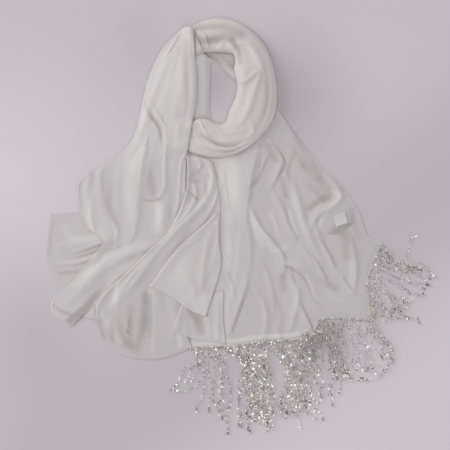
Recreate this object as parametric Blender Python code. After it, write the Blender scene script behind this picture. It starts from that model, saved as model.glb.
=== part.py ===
# A long chiffon shawl laid flat as a hijab: a neck loop above, the plain end spread at
# the lower left and the beaded end at the lower right. It lies on the ground, seen from
# above, with +Y away from the fringe and the floor at z = 0.
import math

import bmesh
import bpy
import numpy as np
from mathutils import Vector
from mathutils.bvhtree import BVHTree

mm = 0.001

# Driving dimensions.
clothWall = 2.2 * mm      # cloth thickness, measured straight up
labelWall = 1.0 * mm
pieceGap = 0.4 * mm       # air kept between two pieces that touch
tapeWide = 5.0 * mm       # the strip that carries the bead strands
tapeTall = 2.0 * mm
tapeLift = 0.3 * mm
strandWide = 2.4 * mm
strandTall = 2.0 * mm
strandPitch = 4.6 * mm
strandSteps = 4
steepest = 0.85           # rise over run where one sheet climbs over another
rasterStep = 2.0 * mm
rasterLeft, rasterLow = -430 * mm, -460 * mm
rasterCols, rasterRows = 430, 460
toCentre = Vector((5.5, -6.5, 0)) * mm  # sets the middle of the finished outline at x = y = 0

for old in list(bpy.data.objects):
    bpy.data.objects.remove(old, do_unlink=True)


def makeMaterial(name, colour, roughness, metallic=0.0):
    mat = bpy.data.materials.new(name)
    mat.use_nodes = True
    bsdf = mat.node_tree.nodes["Principled BSDF"]
    bsdf.inputs["Base Color"].default_value = (*colour, 1.0)
    bsdf.inputs["Roughness"].default_value = roughness
    bsdf.inputs["Metallic"].default_value = metallic
    return mat


# A smooth line through control points, read at the parameters t (0 is the first point).
def through(points, t):
    last = len(points) - 1
    i = np.clip(np.floor(t).astype(int), 0, last - 1)
    f = (t - i).reshape((-1,) + (1,) * (points.ndim - 1))
    before = points[np.clip(i - 1, 0, last)]
    start = points[i]
    end = points[i + 1]
    after = points[np.clip(i + 2, 0, last)]
    slopeA = (end - before) / 2
    slopeB = (after - start) / 2
    return (
        (2 * f**3 - 3 * f**2 + 1) * start
        + (f**3 - 2 * f**2 + f) * slopeA
        + (3 * f**2 - 2 * f**3) * end
        + (f**3 - f**2) * slopeB
    )


# Parameters spread evenly by the mean distance between neighbouring controls.
def spread(distances, cells, bunched):
    total = np.concatenate([[0.0], np.cumsum(distances)])
    share = np.linspace(0.0, 1.0, cells + 1)
    if bunched:
        share = (1 - np.cos(math.pi * share)) / 2
    return np.interp(share * total[-1], total, np.arange(len(total)))


# Plan points of a sheet: guides run along the cloth, stations cross it.
def planGrid(guides, across, along, bunched=False):
    rows = np.array(guides, float) * mm
    between = np.linalg.norm(np.diff(rows, axis=0), axis=2).mean(axis=1)
    onward = np.linalg.norm(np.diff(rows, axis=1), axis=2).mean(axis=0)
    u = spread(between, across, bunched)
    v = spread(onward, along, False)
    lines = through(rows, u)
    plan = through(np.swapaxes(lines, 0, 1), v)
    return plan, u / (len(rows) - 1), v


# Height of the folds over plan points: a rounded ridge along each fold's path.
def foldLift(plan, folds):
    x = plan.reshape(-1, 2)
    total = np.zeros(len(x))
    for fold in folds:
        path = np.array(fold["path"], float)
        t = np.linspace(0, len(path) - 1, 6 * (len(path) - 1) + 1)
        line = through(path[:, :2], t) * mm
        high = through(path[:, 2:3], t)[:, 0] * mm
        best = np.full(len(x), 1e9)
        side = np.zeros(len(x))
        top = np.zeros(len(x))
        for a, b, ha, hb in zip(line[:-1], line[1:], high[:-1], high[1:]):
            way = b - a
            s = np.clip((x - a) @ way / (way @ way), 0.0, 1.0)
            away = x - a - s[:, None] * way
            d = np.hypot(away[:, 0], away[:, 1])
            nearer = d < best
            best = np.where(nearer, d, best)
            side = np.where(nearer, way[0] * away[:, 1] - way[1] * away[:, 0], side)
            top = np.where(nearer, ha + s * (hb - ha), top)
        left, right = fold["wide"]
        reach = np.where(side > 0, left, right) * mm
        ridge = top * np.cos(np.clip(best / reach, 0, 1) * math.pi / 2) ** 2
        total = (total**3 + np.clip(ridge, 0, None) ** 3) ** (1 / 3)
    return total.reshape(plan.shape[:2])


# The top of every piece built so far, as heights over a raster of the floor.
tops = {}
rasterX = rasterLeft + rasterStep * np.arange(rasterCols)
rasterY = rasterLow + rasterStep * np.arange(rasterRows)
trees = {}


def recordTop(name, bm):
    tree = BVHTree.FromBMesh(bm)
    trees[name] = tree
    lows = np.array([v.co for v in bm.verts]).min(axis=0)
    highs = np.array([v.co for v in bm.verts]).max(axis=0)
    top = np.full((rasterCols, rasterRows), -1.0)
    for i in np.nonzero((rasterX > lows[0]) & (rasterX < highs[0]))[0]:
        for j in np.nonzero((rasterY > lows[1]) & (rasterY < highs[1]))[0]:
            hit = tree.ray_cast(Vector((rasterX[i], rasterY[j], 1.0)), Vector((0, 0, -1)))
            if hit[0] is not None:
                top[i, j] = hit[0].z
    tops[name] = top


def shifted(grid, di, dj):
    out = np.zeros_like(grid)
    n, m = grid.shape
    out[max(di, 0):n + min(di, 0), max(dj, 0):m + min(dj, 0)] = grid[
        max(-di, 0):n + min(-di, 0), max(-dj, 0):m + min(-dj, 0)
    ]
    return out


# The lowest height at which a sheet clears the pieces under it, falling away gently.
def restHeights(plan, under):
    ground = np.zeros((rasterCols, rasterRows))
    for name in under:
        ground = np.maximum(ground, np.where(tops[name] > 0, tops[name] + pieceGap, 0))
    around = [(1, 0), (-1, 0), (0, 1), (0, -1), (1, 1), (1, -1), (-1, 1), (-1, -1)]
    wide = ground
    for di, dj in around:
        wide = np.maximum(wide, shifted(ground, di, dj))
    for _ in range(24):
        for di, dj in around:
            fall = steepest * rasterStep * math.hypot(di, dj)
            wide = np.maximum(wide, shifted(wide, di, dj) - fall)
    col = np.clip((plan[..., 0] - rasterLeft) / rasterStep, 0, rasterCols - 2)
    row = np.clip((plan[..., 1] - rasterLow) / rasterStep, 0, rasterRows - 2)
    i = col.astype(int)
    j = row.astype(int)
    fi = col - i
    fj = row - j
    return (
        wide[i, j] * (1 - fi) * (1 - fj) + wide[i + 1, j] * fi * (1 - fj)
        + wide[i, j + 1] * (1 - fi) * fj + wide[i + 1, j + 1] * fi * fj
    )


# Raises a sheet's underside until no sample of it is nearer than the gap to a piece under.
def clearOf(plan, low, under):
    for _ in range(14):
        rise = np.zeros_like(low)
        for i in range(plan.shape[0] - 1):
            for j in range(plan.shape[1] - 1):
                raiseCell(plan, low, rise, under, i, j)
        if rise.max() <= 0:
            return low
        low = low + rise
    return low


def raiseCell(plan, low, rise, under, i, j):
    for corners in (((i, j), (i + 1, j), (i + 1, j + 1)), ((i, j), (i + 1, j + 1), (i, j + 1))):
        for wa, wb in samples:
            weights = (wa, wb, 1 - wa - wb)
            x = sum(w * plan[c][0] for w, c in zip(weights, corners))
            y = sum(w * plan[c][1] for w, c in zip(weights, corners))
            z = sum(w * low[c] for w, c in zip(weights, corners))
            for name in under:
                hit = trees[name].ray_cast(Vector((x, y, 1.0)), Vector((0, 0, -1)))
                if hit[0] is None:
                    continue
                short = hit[0].z + 0.75 * pieceGap - z
                if short > 0:
                    for c in corners:
                        rise[c] = max(rise[c], short + 0.1 * pieceGap)


samples = [(a / 5, b / 5) for a in range(6) for b in range(6 - a)]


# One closed sheet or bundle: an underside, a top above it and a rim round the border.
def buildSheet(name, mat, guides, across, along, folds, crown=None, fill=None, under=(),
               wall=clothWall, bunched=False):
    plan, u, v = planGrid(guides, across, along, bunched)
    lift = foldLift(plan, folds)
    stations = np.arange(len(guides[0]))
    if crown is not None:
        dome = (1 - np.abs(2 * u - 1) ** 2.2).clip(0) ** 0.6
        lift = lift * np.clip(dome * 2.5, 0, 1)[None, :]
        lift = lift + np.interp(v, stations, crown)[:, None] * mm * dome[None, :]
    solid = np.interp(v, stations, fill) if fill is not None else np.zeros(len(v))
    base = restHeights(plan, under)
    low = base + lift * (1 - solid[:, None])
    if under:
        low = clearOf(plan, low, under)
    high = np.maximum(base + lift, low) + wall
    bm = bmesh.new()
    n, m = low.shape
    under_ = [[bm.verts.new((*plan[i, j], low[i, j])) for j in range(m)] for i in range(n)]
    over_ = [[bm.verts.new((*plan[i, j], high[i, j])) for j in range(m)] for i in range(n)]
    for i in range(n - 1):
        for j in range(m - 1):
            for grid in (under_, over_):
                a, b, c, d = grid[i][j], grid[i + 1][j], grid[i + 1][j + 1], grid[i][j + 1]
                bm.faces.new((a, b, c))
                bm.faces.new((a, c, d))
    border = [(i, 0) for i in range(n)]
    border += [(n - 1, j) for j in range(1, m)]
    border += [(i, m - 1) for i in range(n - 2, -1, -1)]
    border += [(0, j) for j in range(m - 2, 0, -1)]
    for (i, j), (k, l) in zip(border, border[1:] + border[:1]):
        bm.faces.new((under_[i][j], under_[k][l], over_[k][l], over_[i][j]))
    bmesh.ops.recalc_face_normals(bm, faces=bm.faces)
    bmesh.ops.triangulate(bm, faces=bm.faces)
    finish(name, mat, bm)
    return plan


def finish(name, mat, bm):
    bm.verts.ensure_lookup_table()
    recordTop(name, bm)
    bmesh.ops.translate(bm, verts=bm.verts, vec=toCentre)
    mesh = bpy.data.meshes.new(name)
    bm.to_mesh(mesh)
    bm.free()
    mesh.materials.append(mat)
    obj = bpy.data.objects.new(name, mesh)
    bpy.context.scene.collection.objects.link(obj)
    print(name, len(mesh.polygons), "triangles, up to", round(tops[name].max() / mm, 1), "mm")


chiffon = makeMaterial("chiffon", (0.86, 0.84, 0.84), 0.75)
chiffonHem = makeMaterial("chiffon_folded", (0.88, 0.86, 0.86), 0.75)
beads = makeMaterial("glass_beads", (0.80, 0.80, 0.82), 0.18)
satin = makeMaterial("label_satin", (0.92, 0.92, 0.90), 0.45)

# Every row is a guide along the cloth, its points in millimetres at the named stations.

# Corner of the plain end that shows under the left end: hidden, middle, edge.
leftCornerGuides = [
    [(-264, 28), (-328, 30), (-386, 28)],
    [(-252, -4), (-324, -8), (-392, -20)],
    [(-256, -36), (-324, -44), (-394, -60)],
    [(-280, -68), (-332, -84), (-384, -96)],
    [(-296, -88), (-328, -112), (-368, -128)],
]
leftCornerFolds = [
    {"path": [(-280, -20, 4), (-318, -30, 5), (-364, -38, 3)], "wide": (16, 16)},
    {"path": [(-308, -66, 3), (-350, -70, 4), (-384, -68, 2)], "wide": (11, 11)},
]
buildSheet("left_corner", chiffon, leftCornerGuides, 8, 8, leftCornerFolds)

# Second turn of the loop, seen through the neck: inner edge, middle and outer edge.
innerTurnGuides = [
    [(-64, 188), (-70, 246), (-68, 292), (-64, 328), (-50, 320), (-32, 300), (-8, 284)],
    [(-92, 188), (-101, 243), (-98, 294), (-84, 348), (-53, 356), (-14, 334), (14, 308)],
    [(-120, 188), (-132, 240), (-128, 296), (-108, 364), (-58, 388), (2, 366), (36, 332)],
]
innerTurnFolds = [
    {"path": [(-82, 200, 4), (-83, 256, 6), (-80, 306, 6), (-74, 330, 3)], "wide": (13, 13)},
]
buildSheet("inner_turn", chiffon, innerTurnGuides, 6, 18, innerTurnFolds)

# The beaded end: neck, nape, shoulder, chest, waist, low, hem. The hem turns the
# corner, so the last guides end on its right side.
rightTailGuides = [
    [(-94, 178), (-76, 146), (-62, 94), (-60, 4), (-70, -84), (-86, -160), (-110, -238)],
    [(-60, 174), (-48, 146), (-36, 94), (-34, 4), (-32, -82), (-32, -160), (-36, -234)],
    [(-20, 174), (-18, 148), (-10, 94), (-2, 4), (10, -78), (20, -156), (28, -226)],
    [(12, 182), (6, 152), (14, 96), (32, 6), (54, -74), (72, -152), (88, -222)],
    [(30, 198), (24, 158), (36, 96), (64, 10), (92, -70), (116, -148), (132, -216)],
    [(42, 214), (40, 162), (56, 100), (92, 18), (124, -60), (142, -128), (150, -182)],
    [(52, 226), (54, 166), (74, 104), (118, 26), (156, -48), (180, -120), (198, -178)],
    [(60, 236), (66, 170), (92, 110), (140, 36), (184, -34), (216, -112), (256, -176)],
    [(66, 244), (78, 174), (108, 116), (160, 52), (200, -8), (224, -68), (244, -114)],
    [(70, 252), (92, 180), (126, 124), (178, 68), (212, 16), (236, -30), (260, -60)],
    [(74, 260), (108, 186), (148, 130), (198, 80), (228, 32), (246, -16), (274, -28)],
]
# Each fold is a path of (x, y, height) in millimetres and its reach to either side.
rightTailFolds = [
    {"path": [(-24, 150, 7), (-22, 106, 13), (-20, 46, 12), (-12, -14, 9), (-8, -68, 8),
              (-16, -124, 6), (-28, -180, 4), (-32, -222, 2)], "wide": (28, 30)},
    {"path": [(58, 168, 5), (80, 136, 11), (72, 108, 10), (56, 82, 3)], "wide": (18, 20)},
    {"path": [(68, 52, 4), (56, 26, 9), (54, 0, 8), (62, -30, 3)], "wide": (18, 18)},
    {"path": [(12, 32, 3), (20, 0, 8), (38, -30, 10), (50, -60, 10), (58, -84, 8),
              (60, -114, 3)], "wide": (16, 20)},
    {"path": [(96, 100, 5), (100, 56, 11), (104, 16, 12), (114, -20, 10), (130, -50, 8),
              (142, -82, 6), (146, -112, 3)], "wide": (18, 20)},
    {"path": [(188, 82, 5), (190, 56, 12), (172, 36, 12), (152, 14, 11), (162, -20, 9),
              (176, -56, 7), (192, -96, 5), (200, -136, 3)], "wide": (20, 22)},
    {"path": [(216, -24, 3), (212, -54, 8), (206, -84, 8), (212, -114, 3)], "wide": (16, 16)},
    {"path": [(112, -96, 3), (130, -116, 6), (148, -150, 3)], "wide": (14, 14)},
    {"path": [(36, -140, 5), (38, -172, 8), (24, -200, 6), (10, -222, 2)], "wide": (15, 15)},
    {"path": [(92, -90, 3), (94, -134, 8), (90, -174, 7), (84, -212, 2)], "wide": (18, 18)},
    {"path": [(122, -150, 3), (130, -176, 6), (132, -200, 3)], "wide": (14, 14)},
    {"path": [(182, -130, 3), (206, -156, 3)], "wide": (34, 34)},
    {"path": [(76, 226, 5), (96, 192, 11), (118, 154, 11), (146, 118, 5)], "wide": (16, 20)},
]
rightTailPlan = buildSheet("right_tail", chiffon, rightTailGuides, 27, 28, rightTailFolds)

# The turn of the loop on top, from under the left limb over the top, down the right and
# along the crescent at the front back under the left limb: outer edge, inner edge.
neckTurnGuides = [
    [(-116, 396), (-78, 416), (-44, 420), (-6, 408), (26, 384), (48, 352), (62, 306),
     (66, 260), (60, 224), (44, 194), (18, 168), (-16, 148), (-54, 140), (-86, 144),
     (-114, 154), (-132, 164)],
    [(-96, 344), (-78, 350), (-50, 350), (-24, 348), (-18, 334), (-20, 316), (-14, 288),
     (-18, 260), (-30, 234), (-36, 214), (-46, 208), (-60, 212), (-74, 218), (-88, 218),
     (-108, 212), (-126, 208)],
]
neckTurnCrown = [5, 14, 19, 22, 23, 23, 23, 23, 23, 23, 24, 24, 23, 20, 12, 5]
neckTurnFolds = [
    {"path": [(-90, 392, 3), (-60, 402, 6), (-28, 392, 7), (6, 368, 8), (16, 336, 9),
              (8, 296, 9), (-4, 258, 8), (-12, 222, 5)], "wide": (17, 17)},
    {"path": [(36, 362, 4), (44, 314, 7), (36, 264, 8), (26, 222, 6)], "wide": (14, 14)},
    {"path": [(22, 202, 4), (-8, 188, 6), (-44, 187, 6), (-78, 198, 6)], "wide": (10, 10)},
    {"path": [(30, 184, 4), (-4, 165, 6), (-44, 161, 6), (-84, 168, 6), (-106, 190, 4)],
     "wide": (10, 10)},
    {"path": [(-80, 366, 4), (-48, 366, 5), (-18, 360, 4)], "wide": (12, 12)},
]
buildSheet("neck_turn", chiffonHem, neckTurnGuides, 11, 32, neckTurnFolds, neckTurnCrown,
           [1] * 16, ("inner_turn", "right_tail"), bunched=True)

# The plain end, from the top of the loop down the left limb: top, bend, limb, waist,
# shoulder, chest, low, hem. The lower hem runs to the far lower left.
leftTailGuides = [
    [(-116, 402), (-166, 356), (-194, 292), (-224, 176), (-280, 128), (-330, 94),
     (-330, 46), (-314, 0)],
    [(-112, 404), (-154, 352), (-178, 288), (-208, 172), (-256, 120), (-294, 86),
     (-294, 26), (-282, -26)],
    [(-108, 404), (-142, 348), (-162, 284), (-190, 168), (-224, 116), (-240, 72),
     (-232, 6), (-312, -68)],
    [(-104, 402), (-130, 344), (-146, 280), (-170, 164), (-192, 108), (-196, 60),
     (-196, -12), (-384, -152)],
    [(-100, 400), (-118, 340), (-130, 276), (-152, 162), (-164, 104), (-164, 56),
     (-172, -28), (-350, -196)],
    [(-92, 396), (-108, 336), (-112, 272), (-134, 160), (-140, 100), (-136, 52),
     (-148, -24), (-330, -178)],
    [(-86, 388), (-100, 332), (-104, 264), (-120, 160), (-120, 96), (-116, 52),
     (-124, -12), (-294, -184)],
]
leftTailCrown = [8, 18, 22, 13, 6, 0, 0, 0]
leftTailFill = [1, 1, 1, 1, 0.4, 0, 0, 0]
leftTailFolds = [
    {"path": [(-176, 316, 4), (-196, 250, 8), (-208, 198, 9), (-222, 158, 8),
              (-240, 130, 3)], "wide": (15, 17)},
    {"path": [(-126, 372, 3), (-144, 320, 8), (-150, 250, 9), (-156, 200, 9),
              (-162, 156, 9), (-164, 100, 9), (-166, 70, 5)], "wide": (16, 18)},
    {"path": [(-110, 320, 3), (-116, 270, 6), (-124, 210, 6), (-128, 170, 4)],
     "wide": (12, 12)},
    {"path": [(-128, 142, 5), (-130, 76, 7), (-138, 40, 7), (-144, 18, 3)], "wide": (12, 14)},
    {"path": [(-196, 158, 7), (-222, 128, 12), (-236, 86, 12), (-234, 46, 10),
              (-226, 12, 8), (-222, -10, 4)], "wide": (22, 22)},
    {"path": [(-172, 46, 7), (-170, 20, 9), (-174, -10, 4)], "wide": (16, 16)},
    {"path": [(-206, 64, 4), (-184, 62, 6), (-166, 62, 5)], "wide": (10, 10)},
    {"path": [(-294, 108, 3), (-300, 74, 6), (-298, 36, 6), (-302, 6, 3)], "wide": (14, 14)},
    {"path": [(-188, -30, 6), (-248, -56, 8), (-304, -92, 8), (-352, -136, 3)],
     "wide": (24, 24)},
]
buildSheet("left_tail", chiffon, leftTailGuides, 16, 36, leftTailFolds, leftTailCrown,
           leftTailFill, ("left_corner", "inner_turn", "neck_turn"), bunched=False)

# The fall between the ends: top, upper, elbow, middle, knee, low, hem.
centreFallGuides = [
    [(-114, 136), (-116, 76), (-148, -2), (-188, -42), (-232, -86), (-294, -150),
     (-284, -216)],
    [(-100, 136), (-98, 76), (-130, -12), (-174, -58), (-212, -104), (-264, -172),
     (-258, -246)],
    [(-84, 136), (-78, 72), (-110, -24), (-158, -76), (-192, -124), (-228, -184),
     (-218, -260)],
    [(-70, 136), (-60, 64), (-82, -38), (-136, -96), (-168, -144), (-188, -194),
     (-164, -260)],
    [(-62, 132), (-48, 52), (-56, -56), (-96, -124), (-124, -164), (-138, -204),
     (-114, -238)],
]
centreFallFolds = [
    {"path": [(-88, 44, 7), (-116, 16, 10), (-148, -16, 10), (-180, -50, 9),
              (-218, -92, 8), (-244, -130, 8), (-252, -172, 7), (-252, -214, 3)],
     "wide": (22, 13)},
    {"path": [(-74, 128, 3), (-72, 96, 7), (-78, 60, 9), (-90, 14, 9), (-126, -40, 8),
              (-172, -82, 8), (-190, -118, 7), (-188, -160, 6), (-186, -206, 5),
              (-188, -246, 2)], "wide": (18, 16)},
    {"path": [(-138, -170, 3), (-146, -206, 4), (-132, -236, 2)], "wide": (18, 18)},
]
buildSheet("centre_fall", chiffon, centreFallGuides, 10, 30, centreFallFolds,
           under=("left_tail", "right_tail"))

# Low flap between the fall and the beaded end: top, middle, hem.
centreFlapGuides = [
    [(-124, -148), (-136, -180), (-144, -206)],
    [(-96, -144), (-102, -180), (-108, -218)],
    [(-68, -136), (-70, -184), (-72, -226)],
    [(-40, -124), (-42, -174), (-36, -230)],
]
centreFlapFolds = [
    {"path": [(-48, -136, 3), (-46, -180, 5), (-46, -222, 3)], "wide": (13, 13)},
    {"path": [(-126, -158, 2), (-134, -194, 3)], "wide": (13, 13)},
]
buildSheet("centre_flap", chiffon, centreFlapGuides, 8, 8, centreFlapFolds,
           under=("centre_fall", "right_tail"))

# Pointed flap folded over the middle: apex, upper, middle, hem.
pointFlapGuides = [
    [(-58, 28), (-88, 0), (-136, -44), (-188, -114)],
    [(-56, 30), (-78, -16), (-112, -68), (-144, -138)],
    [(-53, 30), (-68, -24), (-78, -84), (-104, -166)],
    [(-50, 26), (-50, -24), (-46, -80), (-76, -176)],
]
pointFlapFolds = [
    {"path": [(-68, 12, 2), (-98, -18, 4), (-132, -50, 4), (-170, -98, 3)], "wide": (16, 10)},
    {"path": [(-58, 8, 2), (-70, -34, 5), (-76, -74, 5), (-84, -124, 3)], "wide": (12, 12)},
]
buildSheet("point_flap", chiffon, pointFlapGuides, 10, 13, pointFlapFolds,
           under=("centre_fall", "right_tail", "centre_flap"))

# Care label, bare, near the right edge.
labelGuides = [
    [(178, 24), (184, 2)],
    [(190, 29), (196, 6)],
    [(202, 32), (208, 10)],
]
buildSheet("label", satin, labelGuides, 4, 4, [], under=("right_tail",), wall=labelWall)


# Bead fringe: a narrow strip beside a run of the hem with the strands drawn from it.
# Every cell of the hem from first to last carries its own strands at an even pitch.
def buildFringe(name, first, last, locks):
    hem = rightTailPlan[-1][first:last + 1]
    steps = np.diff(hem, axis=0)
    lengths = np.linalg.norm(steps, axis=1)
    normals = np.stack([steps[:, 1], -steps[:, 0]], axis=1) / lengths[:, None]
    joined = np.concatenate([normals[:1], normals[:-1] + normals[1:], normals[-1:]])
    joined[1:-1] /= 1 + (normals[:-1] * normals[1:]).sum(axis=1)[:, None]
    near, far = [], []
    for cell, length in enumerate(lengths):
        count = max(1, round(length / strandPitch))
        for k in range(count + (cell == len(lengths) - 1)):
            f = k / count
            point = hem[cell] * (1 - f) + hem[cell + 1] * f
            out = joined[cell] * (1 - f) + joined[cell + 1] * f
            near.append(point + out * pieceGap)
            far.append(point + out * (pieceGap + tapeWide))
    bm = bmesh.new()
    z0, z1 = tapeLift, tapeLift + tapeTall
    inLow = [bm.verts.new((*p, z0)) for p in near]
    inHigh = [bm.verts.new((*p, z1)) for p in near]
    outLow = [bm.verts.new((*p, z0)) for p in far]
    outHigh = [bm.verts.new((*p, z1)) for p in far]
    bm.faces.new((inLow[0], inHigh[0], outHigh[0], outLow[0]))
    bm.faces.new((inLow[-1], inHigh[-1], outHigh[-1], outLow[-1]))
    strands = len(far) - 1
    ends = np.cumsum([lock["share"] for lock in locks])
    ends = np.round(ends / ends[-1] * strands).astype(int)
    start = 0
    for lock, end in zip(locks, ends):
        for i in range(start, end):
            share = (i - start) / max(end - start - 1, 1)
            root = (far[i] + far[i + 1]) / 2
            along = (far[i + 1] - far[i]) / np.linalg.norm(far[i + 1] - far[i])
            a, b = root - along * strandWide / 2, root + along * strandWide / 2
            feet = [bm.verts.new((*a, z0)), bm.verts.new((*b, z0)), bm.verts.new((*root, z1))]
            bm.faces.new((inLow[i], inLow[i + 1], inHigh[i + 1], inHigh[i]))
            bm.faces.new((inHigh[i], inHigh[i + 1], outHigh[i + 1], feet[2], outHigh[i]))
            bm.faces.new((inLow[i], inLow[i + 1], outLow[i + 1], feet[1], feet[0], outLow[i]))
            bm.faces.new((outLow[i], feet[0], feet[2], outHigh[i]))
            bm.faces.new((feet[1], outLow[i + 1], outHigh[i + 1], feet[2]))
            drawStrand(bm, feet, root, lock, share, i)
        start = end
    bmesh.ops.recalc_face_normals(bm, faces=bm.faces)
    bmesh.ops.triangulate(bm, faces=bm.faces)
    finish(name, beads, bm)
    print(name, strands, "strands")


def drawStrand(bm, feet, root, lock, share, i):
    bend = mix(lock["bend"], share)
    tip = mix(lock["tip"], share)
    reach = 0.94 + 0.06 * math.sin(2.3 * i) * math.cos(0.7 * i)
    ring = feet
    for step in range(1, strandSteps + 1):
        t = step / strandSteps * reach
        p = (1 - t) ** 2 * root + 2 * t * (1 - t) * bend + t * t * tip
        slope = 2 * (1 - t) * (bend - root) + 2 * t * (tip - bend)
        slope = slope / np.linalg.norm(slope)
        across = np.array([-slope[1], slope[0]])
        if across @ (np.array(feet[1].co)[:2] - np.array(feet[0].co)[:2]) < 0:
            across = -across
        half = strandWide / 2 * (0.75 if step == strandSteps else 1.0)
        a, b = p - across * half, p + across * half
        z0, z1 = tapeLift, tapeLift + strandTall
        fresh = [bm.verts.new((*a, z0)), bm.verts.new((*b, z0)), bm.verts.new((*p, z1))]
        for k in range(3):
            bm.faces.new((ring[k], ring[(k + 1) % 3], fresh[(k + 1) % 3], fresh[k]))
        ring = fresh
    bm.faces.new(ring)


def mix(pair, share):
    a, b = np.array(pair[0], float), np.array(pair[1], float)
    return (a + share * (b - a)) * mm


# Each lock: its share of the strip, and where its first and last strand bend and end.
frontLocks = [
    {"share": 4, "bend": [(-74, -284), (-66, -296)], "tip": [(-142, -326), (-104, -318)]},
    {"share": 6, "bend": [(-86, -310), (-58, -310)], "tip": [(-94, -354), (-62, -372)]},
    {"share": 6, "bend": [(-52, -320), (-32, -320)], "tip": [(-46, -384), (-24, -414)]},
    {"share": 8, "bend": [(-22, -330), (6, -330)], "tip": [(-12, -400), (24, -412)]},
    {"share": 7, "bend": [(14, -320), (38, -320)], "tip": [(36, -380), (60, -398)]},
    {"share": 7, "bend": [(48, -320), (72, -316)], "tip": [(70, -376), (94, -404)]},
    {"share": 6, "bend": [(82, -316), (106, -312)], "tip": [(102, -374), (124, -390)]},
    {"share": 5, "bend": [(114, -306), (134, -300)], "tip": [(134, -362), (156, -384)]},
    {"share": 4, "bend": [(142, -288), (154, -280)], "tip": [(170, -342), (190, -352)]},
]
cornerLocks = [
    {"share": 8, "bend": [(160, -240), (188, -246)], "tip": [(184, -300), (212, -316)]},
    {"share": 8, "bend": [(200, -240), (232, -244)], "tip": [(222, -288), (248, -304)]},
    {"share": 7, "bend": [(242, -236), (272, -228)], "tip": [(262, -268), (294, -276)]},
]
sideLocks = [
    {"share": 7, "bend": [(282, -188), (290, -172)], "tip": [(308, -208), (338, -200)]},
    {"share": 6, "bend": [(294, -158), (298, -142)], "tip": [(350, -190), (360, -156)]},
    {"share": 6, "bend": [(298, -130), (302, -114)], "tip": [(360, -138), (380, -124)]},
    {"share": 7, "bend": [(304, -102), (308, -84)], "tip": [(388, -112), (388, -96)]},
    {"share": 5, "bend": [(312, -74), (334, -60)], "tip": [(362, -82), (344, -24)]},
]
buildFringe("fringe_front", 0, 12, frontLocks)
buildFringe("fringe_corner", 15, 20, cornerLocks)
buildFringe("fringe_side", 21, 27, sideLocks)
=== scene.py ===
import math

import bmesh
import bpy
import numpy as np
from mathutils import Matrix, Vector


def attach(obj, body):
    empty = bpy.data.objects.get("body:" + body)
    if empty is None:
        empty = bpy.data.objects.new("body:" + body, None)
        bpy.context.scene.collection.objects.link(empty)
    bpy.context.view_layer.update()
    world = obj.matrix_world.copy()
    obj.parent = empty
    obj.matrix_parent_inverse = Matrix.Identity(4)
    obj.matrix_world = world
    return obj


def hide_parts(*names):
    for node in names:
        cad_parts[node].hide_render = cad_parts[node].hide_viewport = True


# A long white chiffon shawl laid flat as a hijab: a gathered loop for the neck, the plain
# end at the lower left and the end with the bead fringe at the lower right.
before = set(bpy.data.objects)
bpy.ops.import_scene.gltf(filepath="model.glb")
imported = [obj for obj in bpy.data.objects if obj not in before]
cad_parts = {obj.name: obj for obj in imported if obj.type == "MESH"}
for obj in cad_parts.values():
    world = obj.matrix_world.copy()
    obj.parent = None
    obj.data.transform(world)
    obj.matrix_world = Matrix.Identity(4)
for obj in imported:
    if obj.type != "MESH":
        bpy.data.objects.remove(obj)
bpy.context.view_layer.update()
scene = bpy.context.scene
mm = 0.001
toCentre = np.array([5.5, -6.5]) * mm  # where the tables' zero lies in the frame


def linked(name, data):
    made = bpy.data.objects.new(name, data)
    scene.collection.objects.link(made)
    return made


# Camera: straight above, looking down.
view = {"aim": (-0.0325, -0.0005), "height": 2.6, "lens": 104.0, "sensor": 36.0}
cameraData = bpy.data.cameras.new("camera")
cameraData.sensor_width = view["sensor"]
cameraData.lens = view["lens"]
camera = linked("camera", cameraData)
camera.location = (*view["aim"], view["height"])
scene.camera = camera

# Light: one large soft window high on the left, and a pale room all round.
studio = {"window": (-3.1, 1.6, 1.6), "windowSize": 1.8, "windowPower": 46.0,
          "windowColour": (1.0, 0.985, 0.97), "room": (0.93, 0.915, 0.95), "roomPower": 0.62}
windowData = bpy.data.lights.new("window", "AREA")
windowData.shape = "SQUARE"
windowData.size = studio["windowSize"]
windowData.energy = studio["windowPower"]
windowData.color = studio["windowColour"]
window = linked("window", windowData)
window.location = studio["window"]
window.rotation_euler = Vector(studio["window"]).to_track_quat("Z", "Y").to_euler()
world = bpy.data.worlds.new("room")
world.use_nodes = True
air = world.node_tree.nodes["Background"].inputs
air["Color"].default_value = (*studio["room"], 1.0)
air["Strength"].default_value = studio["roomPower"]
scene.world = world
scene.view_settings.view_transform = "Standard"
scene.view_settings.look = "None"
print("camera and light set")


# Sets a node's inputs: a value stays on its socket, a socket is joined to it.
def feed(node, inputs):
    for name, value in inputs.items():
        if isinstance(value, bpy.types.NodeSocket):
            node.id_data.links.new(value, node.inputs[name])
        else:
            node.inputs[name].default_value = value


def addNode(tree, kind, inputs, **settings):
    node = tree.nodes.new(kind)
    for name, value in settings.items():
        setattr(node, name, value)
    feed(node, inputs)
    return node


def calc(operation, a, b=None, clamp=False):
    tree = (b if isinstance(a, float) else a).id_data
    inputs = {0: a} if b is None else {0: a, 1: b}
    return addNode(tree, "ShaderNodeMath", inputs, operation=operation, use_clamp=clamp).outputs[0]


def plus(a, b, clamp=False):
    return calc("ADD", a, b, clamp)


def times(a, b):
    return calc("MULTIPLY", a, b)


def addNoise(place, scale, detail=2.0, distortion=0.0):
    inputs = {"Vector": place, "Scale": scale, "Detail": detail, "Distortion": distortion}
    return addNode(place.id_data, "ShaderNodeTexNoise", inputs).outputs["Fac"]


def addBump(height, strength, distance):
    inputs = {"Height": height, "Strength": strength, "Distance": distance}
    return addNode(height.id_data, "ShaderNodeBump", inputs).outputs["Normal"]


def addAttribute(tree, name):
    return addNode(tree, "ShaderNodeAttribute", {}, attribute_name=name).outputs["Fac"]


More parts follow.
